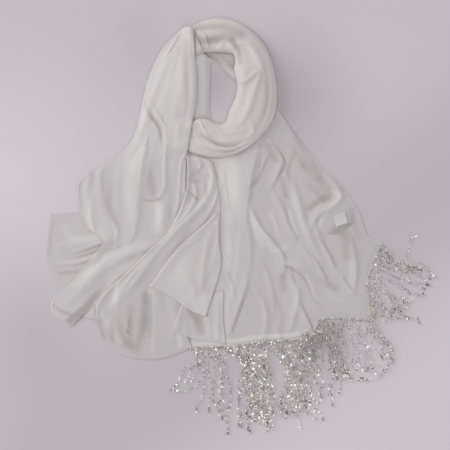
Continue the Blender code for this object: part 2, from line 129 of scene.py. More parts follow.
# A colour ramp; each stop is its place and its colour.
def addRamp(amount, *stops):
    ramp = addNode(amount.id_data, "ShaderNodeValToRGB", {"Fac": amount})
    elements = ramp.color_ramp.elements
    for element, (place, colour) in zip(elements[:], (stops[0], stops[-1])):
        element.position = place
        element.color = (*colour, 1.0)
    for place, colour in stops[1:-1]:
        elements.new(place).color = (*colour, 1.0)
    return ramp.outputs["Color"]


def newMaterial(name):
    mat = bpy.data.materials.new(name)
    mat.use_nodes = True
    return mat, mat.node_tree, mat.node_tree.nodes["Principled BSDF"]


# Plain weave on a UV map in metres: threads both ways, slubs, and soft crinkles.
weaveLook = {"inputs": {"Thread Width": 0.0005, "Slub": 0.3, "Crinkle": 1.0},
             "crinkleSize": (46.0, 13.0, 1.0), "slubSize": 420.0, "mottleSize": 9.0, "thread": 0.03}


def makeWeave(look):
    tree = bpy.data.node_groups.new("plainWeave", "ShaderNodeTree")
    for title, value in look["inputs"].items():
        socket = tree.interface.new_socket(title, in_out="INPUT", socket_type="NodeSocketFloat")
        socket.default_value = value
    for title in ("Height", "Mottle"):
        tree.interface.new_socket(title, in_out="OUTPUT", socket_type="NodeSocketFloat")
    given = tree.nodes.new("NodeGroupInput").outputs
    uv = addNode(tree, "ShaderNodeUVMap", {}, uv_map="metres").outputs[0]
    split = addNode(tree, "ShaderNodeSeparateXYZ", {0: uv}).outputs
    turns = calc("DIVIDE", 2 * math.pi, given["Thread Width"])
    warp = calc("SINE", times(split[0], turns))
    weft = calc("SINE", times(split[1], turns))
    stretch = addNode(tree, "ShaderNodeMapping", {"Vector": uv, "Scale": look["crinkleSize"]})
    crinkle = times(addNoise(stretch.outputs[0], 1.0, 3.5, 0.5), given["Crinkle"])
    slub = times(addNoise(uv, look["slubSize"], 3.0), given["Slub"])
    height = plus(plus(crinkle, slub), times(times(warp, weft), look["thread"]))
    mottle = addNoise(uv, look["mottleSize"], 4.0)
    addNode(tree, "NodeGroupOutput", {"Height": height, "Mottle": mottle})
    return tree


weave = makeWeave(weaveLook)


def addWeave(tree, look):
    inputs = {"Thread Width": look["thread"], "Crinkle": look["crinkle"]}
    return addNode(tree, "ShaderNodeGroup", inputs, node_tree=weave).outputs


# Chiffon: the more layers lie together, the whiter it looks; one layer lets the floor tint it.
# The same value also carries painted shade and painted highlight, darker down to the hollow shade
# colour.
def makeChiffon(name, look):
    mat, tree, bsdf = newMaterial(name)
    cloth = addWeave(tree, look)
    spread = times(calc("SUBTRACT", cloth["Mottle"], 0.5), look["mottle"])
    amount = plus(addAttribute(tree, "layersAndPaintedShading"), spread, clamp=True)
    # the strokes of painted shade and painted highlight move the colour along this ramp as well
    colour = addRamp(amount, (0.0, look["hollowShade"]), (0.42, look["single"]), (1.0, look["white"]))
    feed(bsdf, {"Base Color": colour, "Roughness": look["roughness"], "Sheen Weight": look["sheen"],
                "Sheen Roughness": 0.45, "Specular IOR Level": 0.25,
                "Normal": addBump(cloth["Height"], look["bump"], 0.002)})
    return mat


chiffonLook = {"roughness": 0.85, "sheen": 0.12, "thread": 0.0006, "crinkle": 1.0, "bump": 0.5,
               "mottle": 0.30, "hollowShade": (0.54, 0.50, 0.49), "single": (0.70, 0.665, 0.66),
               "white": (0.87, 0.84, 0.82)}
foldedLook = dict(chiffonLook, crinkle=0.7, bump=0.45, single=(0.70, 0.662, 0.640),
                  white=(0.865, 0.832, 0.790))
hemLook = dict(chiffonLook, crinkle=0.2, bump=0.3, hollowShade=(0.74, 0.71, 0.70),
               single=(0.78, 0.75, 0.74))
chiffon = makeChiffon("chiffonSheer", chiffonLook)
chiffonFolded = makeChiffon("chiffonGathered", foldedLook)
chiffonHem = makeChiffon("chiffonHem", hemLook)


# Silver-lined glass beads: each bead has its own brightness, kept in the tone attribute.
# The brightest beads glow through emission as a painted glint.
def makeBeadGlass(look):
    mat, tree, bsdf = newMaterial("silverGlass")
    tone = addAttribute(tree, "tone")
    coords = tree.nodes.new("ShaderNodeTexCoord").outputs["Object"]
    gloss = plus(times(addNoise(coords, 160.0), look["glossSpread"]), look["gloss"])
    feed(bsdf, {"Base Color": addRamp(tone, *look["stops"]), "Metallic": look["metallic"],
                "Roughness": gloss, "Coat Weight": 0.5, "Coat Roughness": 0.08,
                # painted glint: beads whose tone is near 1 glow, though they are no lamp
                "Emission Color": addRamp(tone, (0.93, (0, 0, 0)), (1.0, look["glint"])),
                "Emission Strength": 1.0})
    return mat


beadLook = {"stops": [(0.0, (0.05, 0.045, 0.04)), (0.3, (0.43, 0.39, 0.34)),
                      (0.6, (0.95, 0.88, 0.77)), (1.0, (1.0, 0.975, 0.93))],
            "metallic": 0.5, "gloss": 0.08, "glossSpread": 0.22, "glint": (0.36, 0.35, 0.31)}
beadGlass = makeBeadGlass(beadLook)
print("materials made")


# A smooth line through control points, read at the parameters t (0 is the first point).
def through(points, t):
    last = len(points) - 1
    i = np.clip(np.floor(t).astype(int), 0, last - 1)
    f = (t - i).reshape((-1,) + (1,) * (points.ndim - 1))
    before, start, end, after = (points[np.clip(i + k, 0, last)] for k in (-1, 0, 1, 2))
    slopeA = (end - before) / 2
    slopeB = (after - start) / 2
    return ((2 * f**3 - 3 * f**2 + 1) * start + (f**3 - 2 * f**2 + f) * slopeA
            + (3 * f**2 - 2 * f**3) * end + (f**3 - f**2) * slopeB)


# Distance run along a line at each of its points.
def runOf(line):
    return np.concatenate([[0], np.cumsum(np.linalg.norm(np.diff(line, axis=0), axis=1))])


# Parameters at an even spacing; bunched sets them closer together at both ends.
def spreadEvenly(distances, cells, bunched=False):
    total = np.concatenate([[0.0], np.cumsum(distances)])
    share = np.linspace(0.0, 1.0, cells + 1)
    if bunched:
        share = 0.45 * share + 0.55 * (1 - np.cos(math.pi * share)) / 2
    return np.interp(share * total[-1], total, np.arange(len(total)))


# Plan of a sheet: rows run along the cloth, stations cross it. u goes across, v along.
def planSheet(rows, cell, bunched=False):
    rows = np.array(rows, float) * mm
    between = np.linalg.norm(np.diff(rows, axis=0), axis=2).mean(axis=1)
    onward = np.linalg.norm(np.diff(rows, axis=1), axis=2).mean(axis=0)
    u = spreadEvenly(between, max(8, round(between.sum() / cell)), bunched)
    v = spreadEvenly(onward, max(8, round(onward.sum() / cell)))
    plan = through(np.swapaxes(through(rows, u), 0, 1), v)
    return np.swapaxes(plan, 0, 1), u / (len(rows) - 1), v


# For every point: how far it is from a path, in reaches to its side, and the path's value.
def nearPath(points, row):
    left, right, *path = row
    path = np.array(path, float)
    t = np.linspace(0, len(path) - 1, 6 * (len(path) - 1) + 1)
    line = through(path[:, :2], t) * mm
    value = through(path[:, 2:3], t)[:, 0]
    reach = max(left, right) * mm
    near = (points > line.min(axis=0) - reach) & (points < line.max(axis=0) + reach)
    inside = np.nonzero(near.all(axis=1))[0]
    x = points[inside]
    best = np.full(len(x), 1e9)
    side = np.zeros(len(x))
    level = np.zeros(len(x))
    for a, b, va, vb in zip(line[:-1], line[1:], value[:-1], value[1:]):
        way = b - a
        s = np.clip((x - a) @ way / (way @ way), 0.0, 1.0)
        away = x - a - s[:, None] * way
        d = np.hypot(away[:, 0], away[:, 1])
        nearer = d < best
        best = np.where(nearer, d, best)
        side = np.where(nearer, way[0] * away[:, 1] - way[1] * away[:, 0], side)
        level = np.where(nearer, va + s * (vb - va), level)
    share = best / (np.where(side > 0, left, right) * mm)
    return inside, np.clip(share, 0, 1), level


foldShape = {"height": 0.60, "round": 0.5, "sharp": 0.5}  # of the tables' heights; two profiles


def foldHeight(points, folds):
    total = np.zeros(len(points))
    for row in folds:
        inside, share, level = nearPath(points, row)
        profile = (foldShape["round"] * np.cos(share * math.pi / 2) ** 2
                   + foldShape["sharp"] * (1 - share) ** 1.5)
        ridge = np.clip(level, 0, None) * foldShape["height"] * mm * profile
        total[inside] = (total[inside] ** 3 + ridge ** 3) ** (1 / 3)
    return total


def strokeSum(points, strokes):
    total = np.zeros(len(points))
    for row in strokes:
        inside, share, level = nearPath(points, row)
        total[inside] += level * np.cos(share * math.pi / 2) ** 2
    return total


# Slow swells of the cloth, in millimetres, so that no stretch of it is dead flat.
def swell(points, amount):
    x = points[:, 0] / mm
    y = points[:, 1] / mm
    waves = (np.sin(x / 13.0 + 0.9 * np.sin(y / 31.0)) + 0.8 * np.sin(x / 7.3 - y / 23.0 + 1.3)
             + 0.7 * np.sin(y / 17.0 + x / 41.0 + 0.7 * np.sin(x / 19.0)))
    return (0.5 + waves / 5.0) * amount * mm


# What lies on the floor so far: the top's height and the number of sheets, on a raster.
raster = {"step": 2 * mm, "corner": np.array([-440, -470]) * mm, "cells": (440, 470)}
heap = {"top": np.zeros(raster["cells"]), "count": np.zeros(raster["cells"])}
heapSides = ((1, 0), (-1, 0), (0, 1), (0, -1))


def shifted(grid, di, dj):
    return np.roll(np.roll(grid, di, axis=0), dj, axis=1)


def widest(grid, rounds):
    for _ in range(rounds):
        grid = np.maximum(grid, np.maximum(shifted(grid, 1, 0), shifted(grid, -1, 0)))
        grid = np.maximum(grid, np.maximum(shifted(grid, 0, 1), shifted(grid, 0, -1)))
    return grid


def blurred(grid, rounds):
    for _ in range(rounds):
        grid = (2 * grid + shifted(grid, 1, 0) + shifted(grid, -1, 0)) / 4
        grid = (2 * grid + shifted(grid, 0, 1) + shifted(grid, 0, -1)) / 4
    return grid


def readRaster(grid, points):
    place = np.clip((points - raster["corner"]) / raster["step"], 0, np.array(raster["cells"]) - 2)
    i, j = np.moveaxis(place.astype(int), -1, 0)
    fi, fj = np.moveaxis(place - place.astype(int), -1, 0)
    return (grid[i, j] * (1 - fi) * (1 - fj) + grid[i + 1, j] * fi * (1 - fj)
            + grid[i, j + 1] * (1 - fi) * fj + grid[i + 1, j + 1] * fi * fj)


# A gentle surface over the heap that a sheet can lie on without touching it.
def restingSurface(slope):
    bare = widest(heap["top"], 2)
    hung = bare
    for _ in range(26):
        for di, dj in heapSides:
            hung = np.maximum(hung, shifted(hung, di, dj) - slope * raster["step"])
    return blurred(np.maximum(blurred(hung, 6), bare), 3)


def recordHeap(spots):
    cover = np.zeros_like(heap["count"])
    a, b, c, d = spots[:-1, :-1], spots[1:, :-1], spots[1:, 1:], spots[:-1, 1:]
    steps = (0.0, 0.33, 0.67, 1.0)
    for s, t in [(s, t) for s in steps for t in steps]:
        p = (1 - s) * (1 - t) * a + s * (1 - t) * b + s * t * c + (1 - s) * t * d
        place = np.rint((p[..., :2] - raster["corner"]) / raster["step"]).astype(int)
        i, j = np.moveaxis(place, -1, 0)
        np.maximum.at(heap["top"], (i, j), p[..., 2])
        cover[i, j] = 1
    heap["count"] += cover


# Distance of every grid point from each border, along the grid's own lines.
def borderDistances(plan):
    stepU = np.linalg.norm(np.diff(plan, axis=0), axis=2)
    stepV = np.linalg.norm(np.diff(plan, axis=1), axis=2)
    fromU = np.vstack([np.zeros((1, plan.shape[1])), np.cumsum(stepU, axis=0)])
    fromV = np.hstack([np.zeros((plan.shape[0], 1)), np.cumsum(stepV, axis=1)])
    return {"u0": fromU, "u1": fromU[-1:] - fromU, "v0": fromV, "v1": fromV[:, -1:] - fromV}


# The evaluated mesh of an object as a plain new piece; the object itself goes.
def meshOf(source, name):
    bpy.context.view_layer.update()
    graph = bpy.context.evaluated_depsgraph_get()
    mesh = bpy.data.meshes.new_from_object(
        source.evaluated_get(graph), preserve_all_data_layers=True, depsgraph=graph)
    mesh.name = name
    bpy.data.objects.remove(source, do_unlink=True)
    return linked(name, mesh)


def meshFrom(bm, name):
    mesh = bpy.data.meshes.new(name)
    bm.to_mesh(mesh)
    bm.free()
    return mesh


# Gives a mesh its material, its UV map in metres and, at each point, the cloth layers together with the
# painted shade and painted highlight.
def dress(mesh, uv, layersAndPaintedShading, mat):
    painted = mesh.attributes.new("layersAndPaintedShading", "FLOAT", "POINT")
    painted.data.foreach_set("value", layersAndPaintedShading.astype(np.float32))
    corner = np.empty(len(mesh.loops), dtype=np.int32)
    mesh.loops.foreach_get("vertex_index", corner)
    uvLayer = mesh.uv_layers.new(name="metres")
    uvLayer.data.foreach_set("uv", uv[corner].astype(np.float32).ravel())
    mesh.materials.append(mat)


# A piece from a grid of points, with its wall on the lower side.
def gridPiece(name, spots, uv, layersAndPaintedShading, mat, thick, smooth=True):
    n, m = layersAndPaintedShading.shape
    bm = bmesh.new()
    bmesh.ops.create_grid(bm, x_segments=n - 1, y_segments=m - 1, size=1.0)
    flat = np.array([vert.co[:2] for vert in bm.verts])
    i, j = np.rint((flat + 1) / 2 * (n - 1, m - 1)).astype(int).T
    for vert, spot in zip(bm.verts, spots[i, j]):
        vert.co = (spot[0] + toCentre[0], spot[1] + toCentre[1], spot[2])
    bm.normal_update()
    if sum(face.normal.z for face in bm.faces) < 0:
        bmesh.ops.reverse_faces(bm, faces=bm.faces)
    for face in bm.faces:
        face.smooth = smooth
    mesh = meshFrom(bm, name)
    dress(mesh, uv[i, j], layersAndPaintedShading[i, j], mat)
    piece = linked(name, mesh)
    wall = piece.modifiers.new("wall", "SOLIDIFY")
    wall.thickness = thick
    wall.offset = -1.0
    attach(piece, "root")
    return piece


# A rolled hem: a thin round roll of cloth sewn along a border.
def rollHem(name, points, radius):
    curve = bpy.data.curves.new(name, "CURVE")
    curve.dimensions = "3D"
    curve.bevel_depth = radius * mm
    curve.bevel_resolution = 1
    curve.use_fill_caps = True
    spline = curve.splines.new("POLY")
    spline.points.add(len(points) - 1)
    for point, (x, y, z) in zip(spline.points, points):
        point.co = (x + toCentre[0], y + toCentre[1], max(z - 0.1 * mm, radius * mm), 1.0)
    piece = meshOf(linked(name + "_route", curve), name)
    mesh = piece.data
    mesh.polygons.foreach_set("use_smooth", [True] * len(mesh.polygons))
    spots = np.empty(len(mesh.vertices) * 3, dtype=np.float32)
    mesh.vertices.foreach_get("co", spots)
    dress(mesh, spots.reshape(-1, 3)[:, :2], np.full(len(mesh.vertices), 0.9), chiffonHem)
    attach(piece, "root")
    return piece


# How cloth lies, in millimetres: its wall, the air under it, how far in from a border its
# folds fade and it hugs what is under it, and how wide a turned edge rises. Then how much
# whiter each sheet under it and each millimetre of height make it.
laying = {"wall": 0.45, "gap": 0.5, "fade": 9, "hug": 8, "turn": 2.4, "under": 0.13, "high": 0.018}
borders = {"u0": np.s_[0, :], "u1": np.s_[-1, :], "v0": np.s_[:, 0], "v1": np.s_[:, -1]}


# One sheet of cloth: a grid moved to its plan and heights, with its layers and its painted shade and
# painted highlight painted in.
def laySheet(name, mat, sheet):
    plan, u, v = planSheet(sheet["rows"], sheet.get("cell", 2.8) * mm, "crown" in sheet)
    n, m = plan.shape[:2]
    points = plan.reshape(-1, 2)
    sides = borderDistances(plan)
    nearest = np.min(list(sides.values()), axis=0)
    ease = np.clip(nearest / (laying["fade"] * mm), 0, 1) ** 0.7
    lift = foldHeight(points, sheet["folds"]).reshape(n, m)
    lift = lift * (0.35 + 0.65 * ease) + swell(points, sheet["swell"]).reshape(n, m) * ease
    if "crown" in sheet:
        dome = (1 - np.abs(2 * u - 1) ** 2.2).clip(0) ** 0.6
        crown = np.interp(v, np.arange(len(sheet["crown"])), sheet["crown"]) * mm
        lift = lift * np.clip(dome * 2.5, 0, 1)[:, None] + dome[:, None] * crown[None, :]
    dips = strokeSum(points, sheet.get("dips", ())).reshape(n, m) * mm
    lift = np.clip(lift - dips, 0, None)
    for side, (high, wide) in sheet.get("rolls", {}).items():
        d = sides[side] / mm
        rising = np.sin(np.clip(d / laying["turn"], 0, 1) * math.pi / 2)
        falling = np.cos(np.clip((d - laying["turn"]) / wide, 0, 1) * math.pi / 2) ** 2
        roll = high * np.where(d < laying["turn"], rising, falling) * mm
        lift = (lift**3 + roll**3) ** (1 / 3)
    hug = (1 - np.clip(nearest / (laying["hug"] * mm), 0, 1)) ** 0.8
    smooth = readRaster(restingSurface(sheet.get("slope", 0.6)), plan)
    tight = readRaster(blurred(widest(heap["top"], 1), 1), plan)
    top = smooth * (1 - hug) + np.minimum(smooth, tight) * hug + lift
    top = top + laying["gap"] * mm + laying["wall"] * mm
    under = readRaster(blurred(heap["count"], 3), plan)
    # the layers value: the base, the sheets under it and the height, then the strokes of painted shade
    # and painted highlight
    layersAndPaintedShading = (sheet["layersAndPaintedShading"] + laying["under"] * np.clip(under, 0, 2.5)
              + laying["high"] * np.clip(lift / mm, 0, 12)
              + strokeSum(points, sheet.get("paintedShading", ())).reshape(n, m))
    across = np.linspace(0, np.median(sides["u1"][0]), n)
    along = np.linspace(0, np.median(sides["v1"][:, 0]), m)
    uv = np.stack(np.meshgrid(across, along, indexing="ij"), axis=2)
    spots = np.dstack([plan, top])
    piece = gridPiece(name, spots, uv, np.clip(layersAndPaintedShading, 0, 1), mat, laying["wall"] * mm)
    recordHeap(spots)
    hems = [rollHem(name + "_hem_" + side, spots[borders[side]], sheet.get("hem", 0.65))
            for side in sheet.get("hems", ())]
    print(name, n, "by", m, "points, up to", round(top.max() / mm, 1), "mm")
    return {"piece": piece, "spots": spots, "hems": hems}


# The tables are in millimetres. Rows are (x, y) along the cloth. A fold is its reach to the
# left and the right of its run and then its points (x, y, height); a dip has depths, and a stroke
# of painted shading has amounts of painted shade (below zero) or painted highlight (above zero)
# to add to the layers value in place of heights. Rolls are turned edges: height and reach.

# Corner of the plain end that shows under the left end.
leftCornerSheet = {
    "rows": [
        [(-264, 28), (-328, 30), (-386, 28)],
        [(-252, -4), (-324, -8), (-392, -20)],
        [(-256, -36), (-324, -44), (-394, -60)],
        [(-280, -68), (-332, -84), (-384, -96)],
        [(-296, -88), (-328, -112), (-368, -128)],
    ],
    "folds": [
        (16, 16, (-280, -20, 4), (-318, -30, 5), (-364, -38, 3)),
        (14, 4, (-348, -52, 1), (-312, -40, 6), (-272, -26, 7)),
        (8, 6, (-376, -72, 1), (-336, -70, 5), (-296, -58, 5)),
    ],
    # painted shade and painted highlight on the cloth's colour
    "paintedShading": [
        (14, 14, (-360, 4, 0.14), (-344, -20, 0.2), (-300, -20, 0.18)),
        (4, 12, (-368, -88, -0.25), (-328, -85, -0.35), (-302, -74, -0.3)),
        (7, 6, (-382, 12, -0.18), (-387, -24, -0.25), (-389, -56, -0.18)),
        (3, 9, (-344, -60, -0.15), (-308, -50, -0.38), (-272, -37, -0.45)),
    ],
    "layersAndPaintedShading": 0.50, "swell": 1.0, "hems": ("u0", "u1", "v1"),
}
leftCorner = laySheet("cloth_left_corner", chiffon, leftCornerSheet)

# Second turn of the loop, seen through the neck: inner edge, middle and outer edge.
innerTurnSheet = {
    "rows": [
        [(-64, 188), (-70, 246), (-69, 296), (-67, 329), (-54, 331), (-36, 307), (-12, 287)],
        [(-92, 188), (-101, 243), (-98, 294), (-84, 348), (-53, 356), (-14, 334), (14, 308)],
        [(-120, 188), (-132, 240), (-128, 296), (-108, 364), (-58, 388), (2, 366), (36, 332)],
    ],
    "folds": [
        (32, 26, (-84, 380, 10), (-96, 336, 18), (-98, 276, 19), (-98, 220, 14)),
        (3, 8, (-72, 324, 2), (-70, 288, 4), (-72, 248, 3)),
        (26, 8, (-62, 352, 6), (-42, 332, 9), (-20, 308, 9), (4, 288, 8)),
    ],
    "dips": [
        (3, 3, (-90, 368, 2), (-78, 350, 5), (-58, 336, 6), (-42, 314, 6), (-26, 296, 5),
         (-12, 286, 4)),
    ],
    # painted shade and painted highlight on the cloth's colour
    "paintedShading": [
        (4, 4, (-94, 324, -0.3), (-94, 284, -0.45), (-96, 244, -0.3)),
        (12, 14, (-84, 344, 0.5), (-82, 296, 0.5), (-82, 232, 0.5)),
        (14, 14, (-64, 352, -0.35), (-44, 336, -0.35), (-24, 324, -0.3)),
        (4, 4, (-90, 368, -0.5), (-76, 348, -0.8), (-56, 334, -0.9), (-40, 312, -0.9),
         (-14, 286, -0.9)),
    ],
    "layersAndPaintedShading": 0.44, "swell": 0.8, "cell": 2.0, "hems": ("u0",),
}
innerTurn = laySheet("cloth_inner_turn", chiffon, innerTurnSheet)

# The beaded end: neck, nape, shoulder, chest, waist, low, hem. The hem turns the corner,
# so the last rows end on its right side.
rightTailSheet = {
    "rows": [
        [(-112, 176), (-106, 146), (-76, 94), (-60, 4), (-70, -84), (-86, -160), (-110, -238)],
        [(-60, 174), (-48, 146), (-36, 94), (-34, 4), (-32, -82), (-32, -160), (-36, -234)],
        [(-20, 174), (-18, 148), (-10, 94), (-2, 4), (10, -78), (20, -156), (28, -226)],
        [(12, 182), (6, 152), (14, 96), (32, 6), (54, -74), (72, -152), (88, -222)],
        [(30, 198), (24, 158), (36, 96), (64, 10), (92, -70), (116, -148), (132, -216)],
        [(42, 214), (40, 162), (56, 100), (92, 18), (124, -60), (142, -128), (150, -182)],
        [(50, 222), (54, 166), (74, 104), (118, 26), (156, -48), (180, -120), (198, -178)],
        [(56, 228), (66, 170), (92, 110), (140, 36), (184, -34), (216, -112), (256, -176)],
        [(60, 232), (78, 174), (108, 116), (160, 52), (200, -8), (224, -68), (244, -114)],
        [(62, 236), (91, 178), (126, 124), (178, 68), (212, 16), (236, -30), (260, -60)],
        [(64, 240), (104, 182), (148, 130), (198, 80), (228, 32), (246, -16), (274, -28)],
    ],
    "folds": [
        # long panels: a gentle side towards the light, a short one away from it
        (9, 54, (28, 156, 4), (16, 112, 8), (10, 72, 8), (4, 28, 7), (12, -24, 6), (12, -74, 4),
         (0, -124, 2)),
        (5, 20, (14, 40, 2), (36, -2, 7), (60, -30, 7), (80, -60, 6), (80, -92, 3)),
        (6, 18, (50, 176, 3), (76, 140, 6), (66, 104, 5), (52, 76, 2)),
        (5, 16, (62, 68, 3), (78, 40, 5), (88, 8, 5), (104, -20, 3)),
        (12, 14, (96, 96, 3), (108, 56, 7), (118, 16, 7), (136, -24, 5), (156, -68, 2)),
        (7, 18, (182, 92, 3), (194, 64, 8), (174, 42, 8), (150, 26, 7), (134, 0, 4)),
        (4, 15, (140, 12, 3), (154, -20, 6), (172, -56, 6), (186, -88, 3)),
        (3, 12, (128, -48, 2), (148, -72, 5), (168, -108, 2)),
        (3, 9, (188, -84, 2), (204, -108, 5), (220, -130, 2)),
        (8, 16, (212, -16, 3), (220, -52, 7), (224, -88, 6), (220, -128, 3)),
        (18, 3, (80, -72, 3), (100, -78, 6), (122, -90, 6), (134, -112, 6), (142, -136, 5),
         (162, -158, 2)),
        (3, 15, (106, -144, 2), (122, -172, 6), (138, -206, 3)),
        (6, 15, (98, -104, 3), (110, -136, 6), (104, -168, 6), (94, -204, 3)),
        (12, 6, (24, -130, 3), (40, -156, 7), (44, -188, 6), (36, -224, 3)),
        (4, 22, (2, -68, 2), (6, -114, 5), (-6, -154, 6), (-22, -202, 3)),
        (14, 12, (76, 228, 4), (96, 192, 7), (118, 148, 7), (146, 104, 4)),
        # smaller creases between the panels
        (6, 8, (-42, 120, 1), (-36, 76, 3), (-30, 32, 2)),
        (3, 8, (-44, -44, 1), (-36, -56, 4), (-26, -64, 1)),
        (4, 10, (-40, -80, 1), (-24, -112, 4), (-16, -152, 2)),
        (4, 9, (48, 40, 1), (64, 12, 3), (72, -16, 1)),
        (4, 12, (36, -68, 1), (52, -104, 4), (60, -144, 3), (56, -188, 1)),
        (10, 4, (124, 76, 1), (144, 64, 4), (160, 44, 2)),
        (3, 10, (112, -30, 1), (130, -56, 4), (140, -84, 1)),
        (14, 6, (168, -124, 1), (188, -144, 4), (216, -156, 2)),
        (4, 12, (64, -196, 1), (76, -220, 4), (80, -244, 1)),
    ],
    "dips": [
        (2.5, 2.5, (58, 168, 1), (82, 134, 3), (72, 108, 2)),
        (5, 3, (36, 140, 1), (26, 104, 3), (12, 80, 2)),
        (2.5, 2.5, (96, -82, 2), (102, -112, 1)),
        (2.5, 2.5, (116, -148, 1), (128, -176, 3), (140, -204, 2)),
        (2.5, 2.5, (20, -136, 1), (36, -164, 2)),
        (2.5, 3, (6, -124, 1), (-8, -164, 3), (-22, -204, 2)),
        (4, 3, (168, -10, 2), (192, -6, 4), (214, 12, 3)),
    ],
    # painted shade and painted highlight on the cloth's colour
    "paintedShading": [
        (30, 32, (-32, 132, 0.6), (-24, 76, 0.5), (-20, 28, 0.16)),
        (14, 16, (-32, 24, 0.2), (-32, -36, 0.4), (-32, -76, 0.3)),
        (10, 8, (-36, -124, 0.2), (-36, -176, 0.25), (-36, -224, 0.2)),
        (16, 16, (88, 208, -0.15), (104, 168, -0.25), (120, 124, -0.2)),
        (20, 18, (124, 128, -0.25), (150, 96, -0.35), (166, 76, -0.25)),
        (8, 8, (100, 150, -0.2), (88, 116, -0.3), (92, 92, -0.2)),
        (14, 10, (132, 40, -0.35), (148, 52, -0.4), (172, 62, -0.3)),
        (12, 12, (214, 34, -0.2), (222, 8, -0.25), (226, -20, -0.2)),
        (5, 5, (184, -6, -0.4), (200, -2, -0.6), (214, 8, -0.5), (216, 24, -0.3)),
        (18, 16, (180, -4, -0.3), (204, -16, -0.4), (208, -56, -0.4)),
        (12, 12, (48, 164, -0.3), (64, 136, -0.3)),
        (10, 10, (76, 96, -0.2), (84, 64, -0.3)),
        (12, 12, (8, 48, 0.2), (20, 4, 0.3), (36, -32, 0.2)),
        (10, 10, (56, 32, 0.25), (72, -16, 0.2)),
        (7, 7, (90, 32, 0.3), (104, -12, 0.3)),
        (12, 12, (76, -96, -0.3), (80, -124, -0.2)),
        (16, 14, (156, -104, -0.2), (180, -120, -0.3)),
        (8, 8, (-44, 120, 0.35), (-50, 76, 0.35)),
        (3, 3, (58, 170, -0.2), (82, 134, -0.25), (70, 104, -0.2), (56, 80, -0.1)),
        (8, 4, (48, 144, -0.3), (28, 100, -0.4), (14, 80, -0.25)),
        (4, 3, (16, 34, -0.1), (40, -4, -0.2), (66, -32, -0.2), (84, -60, -0.25)),
        (4, 4, (82, 48, -0.1), (92, 8, -0.2), (108, -20, -0.2)),
        (16, 14, (128, 84, -0.15), (144, 72, -0.28), (164, 56, -0.2)),
        (4, 4, (168, -12, -0.3), (192, -8, -0.4), (214, 12, -0.3)),
        (3, 3, (148, -16, -0.3), (166, -44, -0.4), (182, -76, -0.3)),
        (3, 3, (148, -66, -0.3), (166, -102, -0.35)),
        (3, 3, (198, -100, -0.3), (216, -124, -0.4)),
        (3, 4, (82, -76, -0.4), (100, -84, -0.4), (118, -98, -0.4), (130, -120, -0.35),
         (138, -140, -0.3), (158, -160, -0.2)),
        (3, 3, (96, -80, -0.35), (102, -112, -0.25)),
        (3, 3, (116, -150, -0.3), (140, -206, -0.4)),
        (10, 10, (64, -136, -0.12), (76, -176, -0.2), (72, -216, -0.15)),
        (4, 4, (4, -120, -0.25), (-8, -164, -0.35), (-24, -208, -0.3)),
        (10, 10, (20, 16, 0.1), (40, -12, 0.25), (60, -44, 0.25), (88, -36, 0.2)),
        (8, 8, (-12, -12, 0.15), (-16, -64, 0.25), (-24, -120, 0.25), (-34, -160, 0.2)),
        (8, 10, (156, 120, -0.1), (176, 104, -0.15), (200, 76, -0.1)),
        (9, 5, (-108, -234, 0.4), (-36, -229, 0.6), (28, -220, 0.8), (88, -216, 0.8),
         (124, -208, 0.5)),
        (8, 8, (180, 72, 0.3), (192, 58, 0.4), (158, 24, 0.4), (150, 0, 0.3)),
        (14, 12, (96, 64, 0.14), (112, 24, 0.18), (124, -12, 0.1)),
        (18, 16, (212, -44, 0.14), (216, -96, 0.16), (196, -144, 0.12)),
        (10, 10, (104, -120, 0.14), (104, -168, 0.14)),
    ],
    "layersAndPaintedShading": 0.46, "swell": 1.6, "cell": 2.4, "hems": ("u1", "v1"), "hem": 0.75,
}
rightTail = laySheet("cloth_right_tail", chiffon, rightTailSheet)

